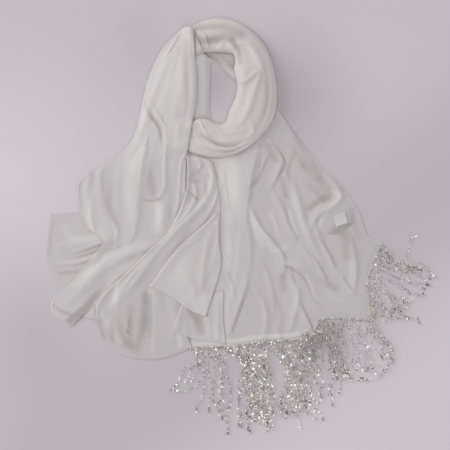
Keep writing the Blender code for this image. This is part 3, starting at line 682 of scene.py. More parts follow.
# The turn of the loop on top, from under the left limb over the top, down the right and
# along the crescent at the front back under the left limb: outer edge, inner edge.
neckTurnSheet = {
    "rows": [
        [(-116, 396), (-78, 416), (-44, 420), (-6, 408), (26, 384), (48, 352), (62, 306),
         (66, 260), (60, 224), (44, 194), (18, 168), (-16, 148), (-54, 140), (-86, 144),
         (-114, 154), (-132, 164)],
        [(-96, 344), (-78, 350), (-50, 350), (-24, 348), (-18, 334), (-20, 316), (-14, 288),
         (-18, 260), (-30, 234), (-36, 214), (-46, 208), (-60, 212), (-74, 218), (-88, 218),
         (-108, 212), (-126, 208)],
    ],
    "crown": [5, 12, 17, 21, 24, 25, 25, 24, 21, 17, 14, 12, 11, 9, 6, 4],
    "folds": [
        # the roll that turns in over the limb's edge at the top left
        (4, 4, (-108, 392, 2), (-92, 392, 5), (-78, 384, 5), (-72, 360, 3)),
        # inner side of the ring: three lit facets with crisp corners between them
        (14, 6, (-16, 364, 1), (4, 364, 5), (20, 348, 6), (34, 316, 6)),
        (4, 14, (-8, 288, 2), (8, 296, 5), (22, 308, 6), (36, 312, 4)),
        (5, 16, (36, 312, 3), (28, 288, 6), (20, 264, 6), (10, 232, 6), (-4, 208, 3)),
        (5, 9, (0, 232, 1), (20, 198, 4), (8, 180, 2)),
        # outer side: one slack band that turns away
        (9, 9, (28, 372, 1), (48, 332, 4), (56, 284, 4), (52, 236, 4), (36, 192, 2)),
        # top: a small lit triangle and shallow hollows
        (7, 7, (-52, 352, 1), (-36, 372, 4), (-20, 356, 2)),
        (5, 8, (-72, 396, 0.5), (-40, 400, 1.5), (-8, 388, 1)),
        # crescent: ridges fan out from behind the limb and run on as fine parallel creases
        (5, 5, (-90, 220, 2), (-82, 200, 6), (-72, 184, 5), (-56, 172, 4), (-24, 170, 4),
         (4, 182, 2)),
        (5, 3, (-106, 208, 2), (-96, 184, 5), (-82, 168, 4), (-56, 158, 4), (-24, 158, 4),
         (8, 172, 2)),
        (4, 4, (-118, 192, 2), (-108, 172, 4), (-88, 156, 4), (-56, 148, 4), (-20, 150, 4),
         (12, 166, 2)),
        (7, 6, (-60, 204, 1), (-40, 188, 4), (-12, 192, 2)),
    ],
    "dips": [
        (3, 3, (-98, 384, 3), (-90, 376, 5), (-84, 362, 5), (-78, 350, 3)),
        (2.5, 2.5, (-76, 178, 1), (-48, 164, 3.5), (-20, 163, 3.5), (8, 176, 1.5)),
        (2.5, 2.5, (-88, 162, 1), (-60, 152, 3), (-28, 152, 3), (4, 164, 1.5)),
    ],
    # painted shade and painted highlight on the cloth's colour
    "paintedShading": [
        (14, 14, (-4, 360, -0.3), (6, 332, -0.2), (8, 300, -0.1), (4, 256, 0.1), (-8, 212, 0.1)),
        (20, 14, (-88, 372, -0.7), (-64, 372, -0.9), (-36, 378, -0.7), (-4, 378, -0.4)),
        (9, 10, (-24, 372, -0.8), (-12, 352, -0.8), (-8, 328, -0.5)),
        (8, 8, (4, 284, -0.3), (-4, 244, -0.25)),
        (8, 8, (36, 328, 0.2), (40, 300, 0.25)),
        (8, 7, (-52, 358, 0.4), (-36, 360, 0.7), (-26, 346, 0.5)),
        (8, 5, (54, 340, 0.2), (66, 290, 0.5), (64, 240, 0.5), (46, 196, 0.4)),
        (9, 9, (38, 330, -0.2), (46, 276, -0.45), (40, 228, -0.45), (22, 198, -0.3)),
        (14, 14, (-92, 398, -0.5), (-44, 400, -0.5), (-6, 390, -0.3)),
        (6, 4, (-96, 190, 0.1), (-104, 160, 0.1), (-68, 144, 0.2), (-32, 143, 0.35), (4, 161, 0.35),
         (26, 178, 0.2)),
        (9, 10, (-84, 186, -0.4), (-52, 168, -0.5), (-20, 172, -0.3), (4, 192, -0.3)),
        (3, 3, (-102, 388, -0.3), (-88, 380, -0.4), (-78, 356, -0.4)),
        (7, 7, (-84, 220, 0.15), (-76, 188, 0.18)),
        (2.5, 2.5, (-72, 176, -0.2), (-44, 164, -0.3), (-16, 164, -0.3), (12, 178, -0.15)),
        (2.5, 2.5, (-84, 160, -0.1), (-56, 152, -0.2), (-24, 152, -0.25), (4, 164, -0.15)),
        (3, 3, (-104, 152, -0.2), (-68, 142, -0.3), (-32, 142, -0.25), (4, 160, -0.15),
         (24, 176, -0.1)),
        (3, 3, (24, 288, -0.1), (36, 308, -0.3), (36, 324, -0.1)),
    ],
    "layersAndPaintedShading": 0.50, "swell": 1.0, "cell": 2.0, "slope": 0.85,
}
neckTurn = laySheet("cloth_neck_turn", chiffonFolded, neckTurnSheet)

# The plain end, from the top of the loop down the left limb: top, bend, limb, waist,
# shoulder, chest, low, hem. The lower hem runs to the far lower left.
leftTailSheet = {
    "rows": [
        [(-126, 396), (-166, 356), (-194, 292), (-224, 176), (-280, 128), (-330, 94),
         (-330, 46), (-314, 0)],
        [(-122, 399), (-154, 352), (-178, 288), (-208, 172), (-256, 120), (-294, 86),
         (-294, 26), (-282, -26)],
        [(-118, 401), (-142, 348), (-162, 284), (-190, 168), (-224, 116), (-240, 72),
         (-232, 6), (-312, -68)],
        [(-114, 402), (-131, 344), (-146, 280), (-170, 164), (-192, 108), (-196, 60),
         (-196, -12), (-386, -150)],
        [(-110, 402), (-120, 341), (-130, 276), (-152, 162), (-164, 104), (-164, 56),
         (-172, -28), (-350, -196)],
        [(-105, 400), (-108, 338), (-110, 270), (-132, 160), (-140, 100), (-136, 52),
         (-148, -24), (-330, -178)],
        [(-101, 396), (-97, 338), (-94, 264), (-112, 160), (-117, 96), (-116, 52),
         (-124, -12), (-294, -184)],
    ],
    "crown": [8, 13, 12, 7, 3, 0, 0, 0],
    "folds": [
        # limb: broad and smooth, a soft ridge right of the middle and a slack left side
        (20, 18, (-112, 364, 2), (-124, 296, 4), (-134, 240, 4.5), (-146, 188, 4.5),
         (-156, 152, 4)),
        (15, 14, (-152, 340, 2), (-176, 280, 4), (-194, 228, 4.5), (-210, 176, 4), (-224, 144, 3)),
        (3, 5, (-130, 384, 2), (-144, 360, 4), (-160, 336, 2)),
        (3, 12, (-190, 254, 1), (-172, 228, 4), (-158, 204, 5), (-152, 172, 3)),
        # bright panel, pocket and the ridge round it
        (7, 40, (-196, 160, 4), (-204, 128, 8), (-208, 92, 8), (-212, 56, 8), (-214, 24, 7),
         (-220, -12, 3)),
        (12, 12, (-246, 116, 1), (-254, 80, 2.5), (-252, 44, 2.5), (-240, 12, 2)),
        (7, 5, (-154, 220, 2), (-156, 168, 5), (-158, 124, 6), (-158, 88, 6), (-168, 64, 5),
         (-190, 60, 3)),
        (24, 20, (-172, 54, 3), (-164, 28, 8), (-170, -8, 3)),
        (4, 5, (-112, 156, 2), (-124, 130, 5), (-128, 84, 5), (-132, 44, 4), (-140, 24, 2)),
        (10, 14, (-286, 128, 2), (-288, 96, 4), (-284, 56, 4), (-278, 24, 2)),
        (8, 8, (-308, 46, 2), (-304, 12, 4), (-296, -24, 2)),
        (4, 8, (-264, 20, 1), (-252, -4, 4), (-256, -28, 2)),
        (4, 10, (-136, 12, 1), (-156, -20, 4), (-192, -36, 2)),
        # long roll towards the lower left, lit along its upper side
        (10, 24, (-180, -36, 3), (-224, -52, 7), (-272, -80, 8), (-320, -120, 7), (-360, -160, 3)),
        (5, 8, (-220, -76, 2), (-256, -104, 4), (-284, -140, 4), (-304, -172, 2)),
        (3, 7, (-304, -52, 1), (-284, -44, 4), (-252, -36, 3)),
        (9, 2.5, (-382, -150, 2), (-364, -161, 4), (-344, -169, 4), (-326, -174, 4)),
        (4, 6, (-320, 112, 2), (-302, 116, 4), (-280, 128, 3), (-256, 144, 2)),
    ],
    "dips": [
        (14, 4, (-198, 244, 1), (-182, 218, 3.5), (-168, 198, 3.5), (-164, 168, 1)),
        (12, 10, (-184, 124, 1), (-184, 92, 4), (-182, 68, 4)),
        (3, 3, (-200, 58, 2), (-182, 56, 4), (-166, 58, 2)),
    ],
    # painted shade and painted highlight on the cloth's colour
    "paintedShading": [
        (14, 4, (-200, 244, -0.12), (-184, 218, -0.32), (-170, 198, -0.32), (-166, 168, -0.1)),
        (8, 8, (-192, 216, 0.1), (-196, 176, 0.2), (-200, 130, 0.15)),
        (14, 14, (-180, 128, -0.1), (-180, 96, -0.25), (-180, 68, -0.3)),
        (3, 3, (-202, 56, -0.4), (-182, 54, -0.5), (-164, 58, -0.3)),
        (12, 12, (-264, 88, -0.15), (-270, 56, -0.3), (-264, 24, -0.3), (-250, 4, -0.2)),
        (9, 9, (-302, 104, -0.25), (-310, 80, -0.3), (-312, 56, -0.1)),
        (12, 14, (-280, -118, -0.2), (-300, -140, -0.6), (-320, -164, -1.0), (-346, -186, -1.0)),
        (12, 12, (-236, -68, 0.15), (-272, -88, 0.25), (-308, -116, 0.2)),
        (2.5, 4, (-380, -154, -0.6), (-364, -166, -0.9), (-344, -174, -0.9), (-328, -179, -0.8)),
        (10, 12, (-232, -40, 0.2), (-276, -60, 0.24), (-320, -96, 0.2)),
        (3, 3, (-306, -22, -0.25), (-280, -26, -0.3)),
        (26, 22, (-144, 336, 0.12), (-164, 276, 0.18), (-172, 236, 0.1)),
        (18, 22, (-222, 140, 0.16), (-230, 76, 0.22), (-226, 24, 0.14)),
        (14, 14, (-168, 44, 0.32), (-168, 20, 0.4), (-170, -4, 0.28)),
        (10, 10, (-202, 156, 0.3), (-206, 96, 0.35), (-212, 32, 0.3), (-224, -16, 0.2)),
        (18, 14, (-320, 108, 0.25), (-312, 44, 0.25), (-308, -8, 0.25), (-336, -60, 0.15)),
        (8, 8, (-116, 144, 0.25), (-120, 76, 0.25)),
        (12, 14, (-114, 368, -0.4), (-116, 328, -0.6), (-114, 270, -0.6), (-116, 230, -0.4),
         (-126, 190, -0.4), (-128, 170, -0.1)),
        (10, 6, (-130, 386, -0.2), (-172, 346, -0.3), (-202, 286, -0.5), (-230, 180, -0.5)),
        (6, 9, (-108, 206, 0.3), (-114, 156, 0.5), (-120, 110, 0.35), (-122, 76, 0.2)),
        (12, 10, (-196, 236, 0.2), (-206, 176, 0.25), (-222, 116, 0.25)),
        (8, 8, (-146, 100, -0.1), (-148, 24, -0.2)),
        (3, 5, (-122, 364, -0.1), (-132, 336, -0.2), (-142, 304, -0.1)),
    ],
    "rolls": {"u0": (2.0, 7), "v1": (1.5, 6)},
    "layersAndPaintedShading": 0.54, "swell": 1.5, "cell": 2.4, "slope": 0.85, "hems": ("v1",),
}
leftTail = laySheet("cloth_left_tail", chiffon, leftTailSheet)

# The fall between the ends: top, upper, elbow, middle, knee, low, hem.
centreFallSheet = {
    "rows": [
        [(-115, 144), (-116, 76), (-148, -2), (-188, -42), (-232, -86), (-294, -150),
         (-284, -216)],
        [(-100, 143), (-98, 76), (-130, -12), (-174, -58), (-212, -104), (-264, -172),
         (-258, -246)],
        [(-84, 140), (-78, 72), (-110, -24), (-158, -76), (-192, -124), (-228, -184),
         (-218, -260)],
        [(-70, 136), (-60, 64), (-82, -38), (-136, -96), (-168, -144), (-188, -194),
         (-164, -260)],
        [(-62, 132), (-48, 52), (-56, -56), (-96, -124), (-116, -164), (-116, -204),
         (-104, -238)],
    ],
    "folds": [
        (14, 7, (-76, 136, 2), (-62, 104, 6), (-70, 72, 6), (-90, 40, 6), (-128, 4, 5),
         (-168, -40, 5), (-200, -80, 5), (-224, -112, 3)),
        (8, 7, (-104, 100, 2), (-96, 68, 5), (-108, 36, 5), (-144, -4, 5), (-184, -52, 5),
         (-224, -96, 5), (-246, -128, 5), (-254, -168, 4), (-246, -212, 2)),
        (24, 10, (-180, -116, 2), (-180, -152, 6), (-178, -188, 6), (-178, -224, 5),
         (-180, -252, 2)),
        (42, 12, (-252, -108, 3), (-252, -144, 7), (-248, -188, 7), (-240, -232, 3)),
        (14, 12, (-148, -144, 1), (-136, -184, 3), (-144, -224, 2)),
        (5, 5, (-96, 140, 2), (-86, 128, 5), (-94, 112, 2)),
        (3, 12, (-224, -168, 1), (-226, -192, 4), (-234, -216, 2)),
        (6, 5, (-264, -104, 2), (-280, -132, 4), (-290, -164, 2)),
        (8, 8, (-256, -220, 1), (-244, -240, 3), (-216, -248, 2)),
        (4, 8, (-52, 76, 1), (-60, 44, 4), (-80, 12, 2)),
    ],
    "dips": [
        (2.5, 2.5, (-116, 78, 2), (-104, 68, 4), (-92, 56, 2)),
        (2.5, 2.5, (-226, -178, 2), (-232, -208, 3)),
        (4, 4, (-192, -120, 1), (-192, -152, 3), (-192, -204, 2)),
    ],
    # painted shade and painted highlight on the cloth's colour
    "paintedShading": [
        (20, 20, (-124, -150, -0.16), (-110, -190, -0.16)),
        (30, 30, (-236, -164, -0.06), (-196, -196, -0.08), (-176, -216, -0.06)),
        (10, 8, (-96, 116, -0.25), (-108, 96, -0.35), (-92, 92, -0.2)),
        (3, 3, (-116, 78, -0.35), (-92, 56, -0.4)),
        (9, 9, (-62, 40, -0.15), (-92, -4, -0.2), (-132, -44, -0.15), (-168, -80, 0.05),
         (-196, -120, -0.1), (-196, -148, -0.3)),
        (15, 16, (-198, -136, -0.3), (-198, -172, -0.4), (-204, -208, -0.4), (-216, -240, -0.3)),
        (10, 10, (-264, -172, -0.1), (-266, -200, -0.2), (-262, -224, -0.2)),
        (7, 7, (-130, -164, 0.3), (-132, -196, 0.5), (-128, -236, 0.3)),
        (9, 12, (-226, -160, -0.1), (-226, -200, -0.25), (-226, -236, -0.4)),
        (9, 9, (-280, -176, 0.3), (-272, -196, 0.3), (-264, -150, 0.2)),
        (3, 3, (-226, -176, -0.35), (-232, -210, -0.45)),
        (6, 6, (-94, 44, 0.2), (-128, 8, 0.2), (-172, -44, 0.2), (-208, -80, 0.16)),
        (12, 12, (-252, -112, 0.2), (-258, -144, 0.2)),
        (14, 10, (-176, -144, 0.14), (-168, -184, 0.16), (-168, -232, 0.12)),
        (9, 7, (-76, 100, 0.14), (-68, 76, 0.16), (-80, 52, 0.1)),
        (14, 12, (-256, -156, -0.15), (-250, -196, -0.4), (-236, -232, -0.35)),
        (7, 7, (-186, -136, -0.35), (-186, -180, -0.35), (-188, -216, -0.25)),
        (8, 8, (-76, 104, -0.25), (-76, 64, -0.25)),
        (10, 10, (-112, 48, 0.2), (-144, 12, 0.2)),
        (6, 6, (-280, -204, -0.1), (-256, -232, -0.15), (-220, -248, -0.1)),
    ],
    "rolls": {"u0": (3.0, 8), "v1": (1.0, 5)},
    "layersAndPaintedShading": 0.47, "swell": 1.5, "cell": 2.4, "hems": ("v1",), "slope": 0.7,
}
centreFall = laySheet("cloth_centre_fall", chiffon, centreFallSheet)

# Low flap between the fall and the beaded end: top, middle, hem.
centreFlapSheet = {
    "rows": [
        [(-124, -148), (-136, -180), (-144, -206)],
        [(-96, -144), (-102, -180), (-108, -218)],
        [(-68, -136), (-70, -184), (-72, -226)],
        [(-40, -124), (-42, -174), (-36, -230)],
    ],
    "folds": [
        (7, 13, (-50, -136, 2), (-50, -180, 4), (-50, -222, 2)),
        (12, 5, (-126, -158, 2), (-134, -194, 3)),
        (10, 8, (-78, -144, 2), (-72, -184, 3), (-68, -216, 2)),
    ],
    # painted shade and painted highlight on the cloth's colour
    "paintedShading": [
        (18, 16, (-104, -160, -0.7), (-94, -180, -0.6), (-88, -204, -0.4)),
        (16, 12, (-64, -200, 0.12), (-56, -220, 0.15)),
        (8, 8, (-44, -132, 0.2), (-44, -180, 0.25), (-40, -220, 0.2)),
    ],
    "rolls": {"u0": (1.2, 7), "u1": (1.0, 6)},
    "layersAndPaintedShading": 0.44, "swell": 0.9, "hems": ("v1",),
}
centreFlap = laySheet("cloth_centre_flap", chiffon, centreFlapSheet)

# Pointed flap folded over the middle: apex, upper, middle, hem.
pointFlapSheet = {
    "rows": [
        [(-58, 28), (-88, 0), (-136, -44), (-188, -114)],
        [(-56, 30), (-78, -16), (-112, -68), (-144, -138)],
        [(-53, 30), (-68, -24), (-78, -84), (-104, -166)],
        [(-50, 26), (-50, -24), (-46, -80), (-76, -176)],
    ],
    "folds": [
        (14, 6, (-68, 12, 2), (-98, -18, 4), (-132, -50, 4), (-170, -98, 3)),
        (10, 8, (-58, 8, 2), (-70, -34, 5), (-76, -74, 5), (-84, -124, 3)),
        (3, 7, (-64, -8, 1), (-70, -44, 3), (-72, -68, 2)),
        (8, 3, (-66, -60, 2), (-74, -94, 5), (-78, -128, 3)),
        (12, 12, (-132, -80, 1), (-108, -104, 3), (-96, -144, 2)),
    ],
    # painted shade and painted highlight on the cloth's colour
    "paintedShading": [
        (24, 24, (-118, -68, 0.12), (-124, -100, 0.15), (-116, -134, 0.12)),
        (8, 8, (-62, 4, -0.3), (-72, -36, -0.5), (-78, -84, -0.5), (-82, -124, -0.3)),
        (5, 6, (-60, -72, 0.2), (-66, -108, 0.2)),
        (7, 7, (-56, -114, -0.2), (-64, -144, -0.2)),
        (16, 8, (-98, 6, -0.15), (-132, -36, -0.12)),
    ],
    "rolls": {"u0": (3.0, 9), "u1": (1.0, 5), "v1": (1.6, 7)},
    "layersAndPaintedShading": 0.50, "swell": 0.9, "hems": ("v1",),
}
pointFlap = laySheet("cloth_point_flap", chiffon, pointFlapSheet)

# Care label: a bare satin tab, sewn along its upper left edge and curled a little.
labelSheet = {
    "rows": [
        [(178, 24), (184, 2)],
        [(190, 29), (196, 6)],
        [(202, 32), (208, 10)],
    ],
    "folds": [
        (12, 5, (182, 0, 5), (196, 4, 8), (210, 12, 8), (206, 30, 4)),
    ],
    "layersAndPaintedShading": 0.9, "swell": 0.3, "cell": 1.2,
}


# The label's satin: a fine, nearly flat weave with a soft shine.
def makeSatin(look):
    mat, tree, bsdf = newMaterial("labelSatin")
    cloth = addWeave(tree, look)
    colour = addRamp(cloth["Mottle"], (0.0, look["shade"]), (1.0, look["light"]))
    gloss = plus(times(cloth["Mottle"], look["glossSpread"]), look["gloss"])
    feed(bsdf, {"Base Color": colour, "Roughness": gloss, "Sheen Weight": 0.1,
                "Normal": addBump(cloth["Height"], 0.4, 0.0008)})
    return mat


satinLook = {"thread": 0.0004, "crinkle": 0.3, "gloss": 0.32, "glossSpread": 0.2,
             "shade": (0.70, 0.69, 0.69), "light": (0.84, 0.83, 0.83)}
careLabel = laySheet("care_label", makeSatin(satinLook), labelSheet)

# Strands hang from the beaded hem in locks. A lock is its share of the hem, then where its
# first and its last strand bend, and then where these two end, in millimetres.
fringe = {
    "beadPitch": 2.6, "dropSize": 1.3, "crystalSize": 2.1, "sway": 3.2, "curl": 3.8, "tapeWide": 4.5,
    # the spot, reach and amount of painted shade on the beads where the strands crowd at the hem
    "seed": 11, "paintedCrowdShade": {"spot": (150, -238), "reach": 42, "amount": 0.5},
    "parts": {
        "front": {
            "hem": (0.0, 0.5), "node": "fringe_front", "extra": 22, "crystals": 0.022,
            "pitch": 6.2, "bead": 1.15, "spread": (0.6, 0.42),
            "locks": [
                (3, (-98, -262), (-86, -270), (-140, -318), (-104, -308)),
                (5, (-76, -280), (-50, -284), (-88, -364), (-46, -378)),
                (4, (-46, -278), (-38, -288), (-62, -352), (-36, -410)),
                (3, (-6, -268), (4, -276), (-12, -402), (4, -414)),
                (14, (6, -280), (44, -286), (12, -386), (54, -392)),
                (3, (48, -270), (52, -288), (42, -400), (62, -384)),
                (9, (84, -276), (106, -286), (72, -376), (108, -376)),
                (7, (112, -268), (136, -280), (100, -356), (142, -372)),
                (8, (140, -252), (184, -262), (134, -340), (198, -344)),
            ],
        },
        "corner": {
            "hem": (0.5, 0.76), "node": "fringe_corner", "extra": 8, "crystals": 0.003,
            "pitch": 5.8, "bead": 1.04, "spread": (0.9, 0.6),
            "locks": [
                (9, (168, -232), (200, -240), (176, -300), (212, -304)),
                (6, (212, -222), (240, -226), (228, -286), (272, -286)),
                (5, (250, -206), (268, -200), (284, -268), (302, -236)),
            ],
        },
        "side": {
            "hem": (0.77, 1.0), "node": "fringe_side", "extra": 5, "crystals": 0.003,
            "pitch": 6.8, "bead": 1.04, "spread": (0.8, 0.6),
            "locks": [
                (4, (258, -166), (264, -176), (284, -180), (308, -168)),
                (4, (284, -172), (300, -168), (336, -188), (354, -190)),
                (6, (282, -132), (294, -128), (312, -164), (334, -146)),
                (5, (292, -112), (302, -98), (344, -136), (366, -130)),
                (5, (298, -88), (304, -78), (376, -118), (384, -96)),
                (4, (290, -58), (296, -66), (336, -88), (362, -82)),
            ],
        },
    },
    # single strands that lie apart from the locks
    "strays": {
        "front": [
            [(-76, -248), (-82, -296), (-108, -322), (-146, -324)],
            [(-32, -234), (-44, -314), (-36, -368), (-30, -412)],
            [(4, -230), (2, -314), (8, -374), (14, -412)],
            [(28, -340), (56, -332), (88, -346), (120, -338), (150, -350)],
            [(20, -356), (52, -350), (84, -360), (108, -352), (128, -362)],
            [(140, -376), (116, -366), (92, -374), (70, -364), (44, -372)],
            [(36, -346), (66, -366), (100, -350), (124, -372), (146, -382)],
            [(96, -220), (112, -288), (136, -340), (158, -384)],
            [(48, -224), (36, -304), (36, -368), (54, -400)],
            [(76, -220), (92, -314), (104, -364), (110, -398)],
            [(112, -216), (156, -268), (172, -324), (176, -356)],
            [(112, -208), (132, -222), (128, -242), (108, -240), (106, -222), (126, -212)],
            [(136, -204), (156, -220), (150, -240), (130, -238), (132, -216), (152, -210)],
            [(150, -192), (174, -204), (172, -228), (150, -232), (146, -210), (164, -196)],
            [(160, -186), (184, -194), (188, -216), (168, -226), (160, -206), (178, -190)],
            [(60, -228), (78, -236), (72, -252), (54, -248), (56, -234), (70, -226)],
            [(20, -232), (36, -244), (28, -260), (10, -252), (14, -238), (30, -232)],
            [(-14, -240), (4, -252), (-4, -268), (-20, -258), (-14, -244), (0, -238)],
            [(128, -214), (110, -232), (124, -254), (146, -246), (150, -224), (130, -220)],
            [(170, -200), (158, -222), (138, -230), (120, -218), (130, -204), (150, -206)],
        ],
        "corner": [
            [(196, -182), (236, -208), (278, -226), (294, -258), (278, -292), (236, -304), (206, -290)],
            [(212, -182), (248, -204), (290, -232), (298, -264), (270, -298), (232, -300)],
            [(180, -184), (196, -222), (190, -264), (206, -296), (244, -302)],
            [(244, -180), (272, -216), (292, -248), (282, -282)],
            [(168, -184), (162, -220), (178, -268), (212, -298)],
        ],
        "side": [
            [(272, -36), (294, -70), (318, -84), (328, -54), (334, -24), (346, -16)],
            [(270, -40), (288, -72), (318, -90), (352, -70), (380, -96)],
            [(268, -50), (290, -92), (322, -104), (350, -96), (374, -116)],
            [(252, -114), (284, -136), (322, -158), (334, -140), (360, -132)],
            [(256, -150), (276, -168), (300, -176), (312, -164), (320, -144)],
            [(262, -120), (300, -144), (310, -170), (336, -178), (352, -192)],
            [(274, -32), (286, -46), (276, -60), (290, -70), (282, -52), (272, -40)],
        ],
    },
}
rand = np.random.RandomState(fringe["seed"])
hemLine = rightTail["spots"][:, -1]
hemRun = runOf(hemLine[:, :2])
hemLength = hemRun[-1] / mm


def hemPoint(share):
    return np.array([np.interp(share, hemRun / hemRun[-1], line) for line in hemLine.T])


# The outward direction of the hem in plan.
def hemOut(share):
    way = (hemPoint(min(share + 0.01, 1)) - hemPoint(max(share - 0.01, 0)))[:2]
    return np.array([way[1], -way[0]]) / np.linalg.norm(way)


# Points at an even pitch along a smooth route, with a sideways sway and small curls that
# grow from the root. The sway is a short and a long wave; all lengths are in millimetres.
swayShape = {"grown": 20, "short": 9, "shortShare": 0.6, "long": 21, "curlTurn": (2.6, 4.0)}


def threadRoute(controls, sway, curl, pitch):
    controls = np.array(controls, float)
    fine = through(controls, np.linspace(0, len(controls) - 1, 40 * (len(controls) - 1) + 1))
    run = runOf(fine)
    way = np.gradient(fine, axis=0)
    way = way / np.linalg.norm(way, axis=1)[:, None]
    across = np.stack([-way[:, 1], way[:, 0]], axis=1)
    phase = rand.uniform(0, 2 * math.pi, 3)
    grown = np.clip(run / (swayShape["grown"] * mm), 0, 1)[:, None]
    waves = (np.sin(run / (swayShape["short"] * mm) + phase[1]) * swayShape["shortShare"]
             + np.sin(run / (swayShape["long"] * mm) + phase[2]))
    turn = (run / (rand.uniform(*swayShape["curlTurn"]) * mm) + phase[0])[:, None]
    fine = fine + across * waves[:, None] * sway * mm * grown
    fine = fine + (across * np.cos(turn) + way * np.sin(turn)) * curl * mm * grown
    run = runOf(fine)
    stops = np.arange(0, run[-1], pitch * mm)
    return np.stack([np.interp(stops, run, line) for line in fine.T], axis=1)


# Strands pile up on each other: a fine raster of the fringe keeps the height so far. A bead
# counts what lies under it up to a limit, and rises slowly towards what lies beside it.
beadHeap = {"step": 1.25 * mm, "corner": np.array([-180, -470]) * mm,
            "top": np.zeros((480, 400)), "limit": 6.5 * mm, "slope": 0.5 * mm}


def settleStrand(route, radius, start):
    cell = ((route - beadHeap["corner"]) / beadHeap["step"]).astype(int)
    i, j = np.clip(cell, 1, np.array(beadHeap["top"].shape) - 2).T
    under = np.minimum(beadHeap["top"][i, j], beadHeap["limit"])
    under = np.maximum(under, readRaster(heap["top"], route))
    high = under
    for k in range(1, 4):
        ahead = np.concatenate([under[k:], under[-1:].repeat(k)])
        behind = np.concatenate([under[:1].repeat(k), under[:-k]])
        high = np.maximum(high, np.maximum(ahead, behind) - beadHeap["slope"] * k)
    z = high + 1.5 * radius
    z[:4] = np.maximum(z[:4], np.linspace(start, z[min(4, len(z) - 1)], 4)[:len(z[:4])])
    for di, dj in [(di, dj) for di in (-1, 0, 1) for dj in (-1, 0, 1)]:
        far = radius * (0.4 if di or dj else 1.0)
        np.maximum.at(beadHeap["top"], (i + di, j + dj), z + far)
    return z


# Strands of the hem, and the upper ones over them: how far they reach, how much their ends
# and bends stray, and how much they curl.
strandWays = [{"reach": (0.9, 1.02), "end": 3.5, "bend": 2.5, "curl": 0.5},
              {"reach": (0.78, 1.04), "end": 9, "bend": 5, "curl": 1.0}]


# The strands of one part of the fringe: controls, sway, curl and the height of the root.
def hangStrands(part):
    first, last = part["hem"]
    count = max(2, round((last - first) * hemLength / part["pitch"]))
    ends = np.cumsum([lock[0] for lock in part["locks"]])
    ends = np.round(ends / ends[-1] * count).astype(int)
    strands = []
    for lock, start, end in zip(part["locks"], [0, *ends[:-1]], ends):
        for k in range(start, end):
            share = (k - start) / max(end - start - 1, 1)
            strands.append((first + (last - first) * (k + 0.5) / count, lock, share, 0))
    for k in range(part["extra"]):
        where, lock, share, _ = strands[rand.randint(len(strands))]
        share = np.clip(share + rand.uniform(-0.5, 0.5), 0, 1)
        strands.append((where + rand.uniform(-0.01, 0.01), lock, share, 1))
    routes = []
    for where, lock, share, upper in strands:
        way = strandWays[upper]
        root = hemPoint(np.clip(where, first, last))
        foot = root[:2] + hemOut(where) * fringe["tapeWide"] * mm
        spots = np.array(lock[1:]) * mm
        bend = spots[0] * (1 - share) + spots[1] * share
        tip = spots[2] * (1 - share) + spots[3] * share
        tip = foot + (tip - foot) * rand.uniform(*way["reach"]) + rand.normal(0, way["end"], 2) * mm
        bend = bend + rand.normal(0, way["bend"], 2) * mm
        low = 0.45 * bend + 0.55 * tip + rand.normal(0, 4, 2) * mm
        curl = rand.uniform(0.5, 1.0) * fringe["curl"] * way["curl"]
        routes.append(([foot, bend, low, tip], fringe["sway"], curl, root[2]))
    strays = [np.array(stray) * mm for stray in fringe["strays"][part["name"]]]
    return routes + [(stray, 1.2, 1.0, 2 * mm) for stray in strays]


# All the beads of one part of the fringe, as rows: x, y, z, three turns, girth, length, tone.
def threadBeads(part):
    beads, lengths = [], []
    paintedCrowdShade = fringe["paintedCrowdShade"]
    for controls, sway, curl, rootHigh in hangStrands(part):
        route = threadRoute(controls, sway, curl, fringe["beadPitch"])
        lengths.append(len(route) * fringe["beadPitch"])
        z = settleStrand(route, part["bead"] * mm, rootHigh)
        way = np.gradient(np.column_stack([route, z]), axis=0)
        heading = np.arctan2(way[:, 1], way[:, 0])
        tilt = -np.arctan2(way[:, 2], np.hypot(way[:, 0], way[:, 1]))
        small = np.arange(len(route)) % 2 == 1
        girth = part["bead"] * np.where(small, 0.6, 1.0) * rand.uniform(0.85, 1.1, len(route))
        tone = rand.beta(*part["spread"], len(route)) - 0.1 * small + rand.normal(0, 0.05)
        # painted shade: beads darken towards the spot where the strands crowd
        far = np.linalg.norm(route - np.array(paintedCrowdShade["spot"]) * mm, axis=1) / (paintedCrowdShade["reach"] * mm)
        tone = np.clip(tone, 0, 1) * (1 - paintedCrowdShade["amount"] * np.exp(-far**2))
        # crystals are bright beads; their tone of 1 also makes them glow as a painted glint
        bright = rand.uniform(size=len(route)) < part["crystals"]
        girth = np.where(bright, fringe["crystalSize"] * rand.uniform(0.8, 1.15, len(route)), girth)
        tone = np.where(bright, 1.0, tone)
        length = girth * 0.98
        # three or four drops end the strand, the last one long
        drop = rand.randint(3, 5)
        girth[-drop:] = fringe["dropSize"] * rand.uniform(0.8, 1.1, len(girth[-drop:]))
        length[-drop:] = girth[-drop:] * 1.1
        length[-1] = 2.9
        z = np.maximum(z, np.hypot(girth, length * np.sin(tilt)) * mm)
        tone[-drop:] = rand.choice([0.05, 0.3, 0.5, 1.0], len(girth[-drop:]))
        turn = rand.uniform(0, 2 * math.pi, len(route))
        beads.append(np.column_stack([route, z, turn, tilt, heading, girth, length, tone]))
    return np.concatenate(beads), lengths


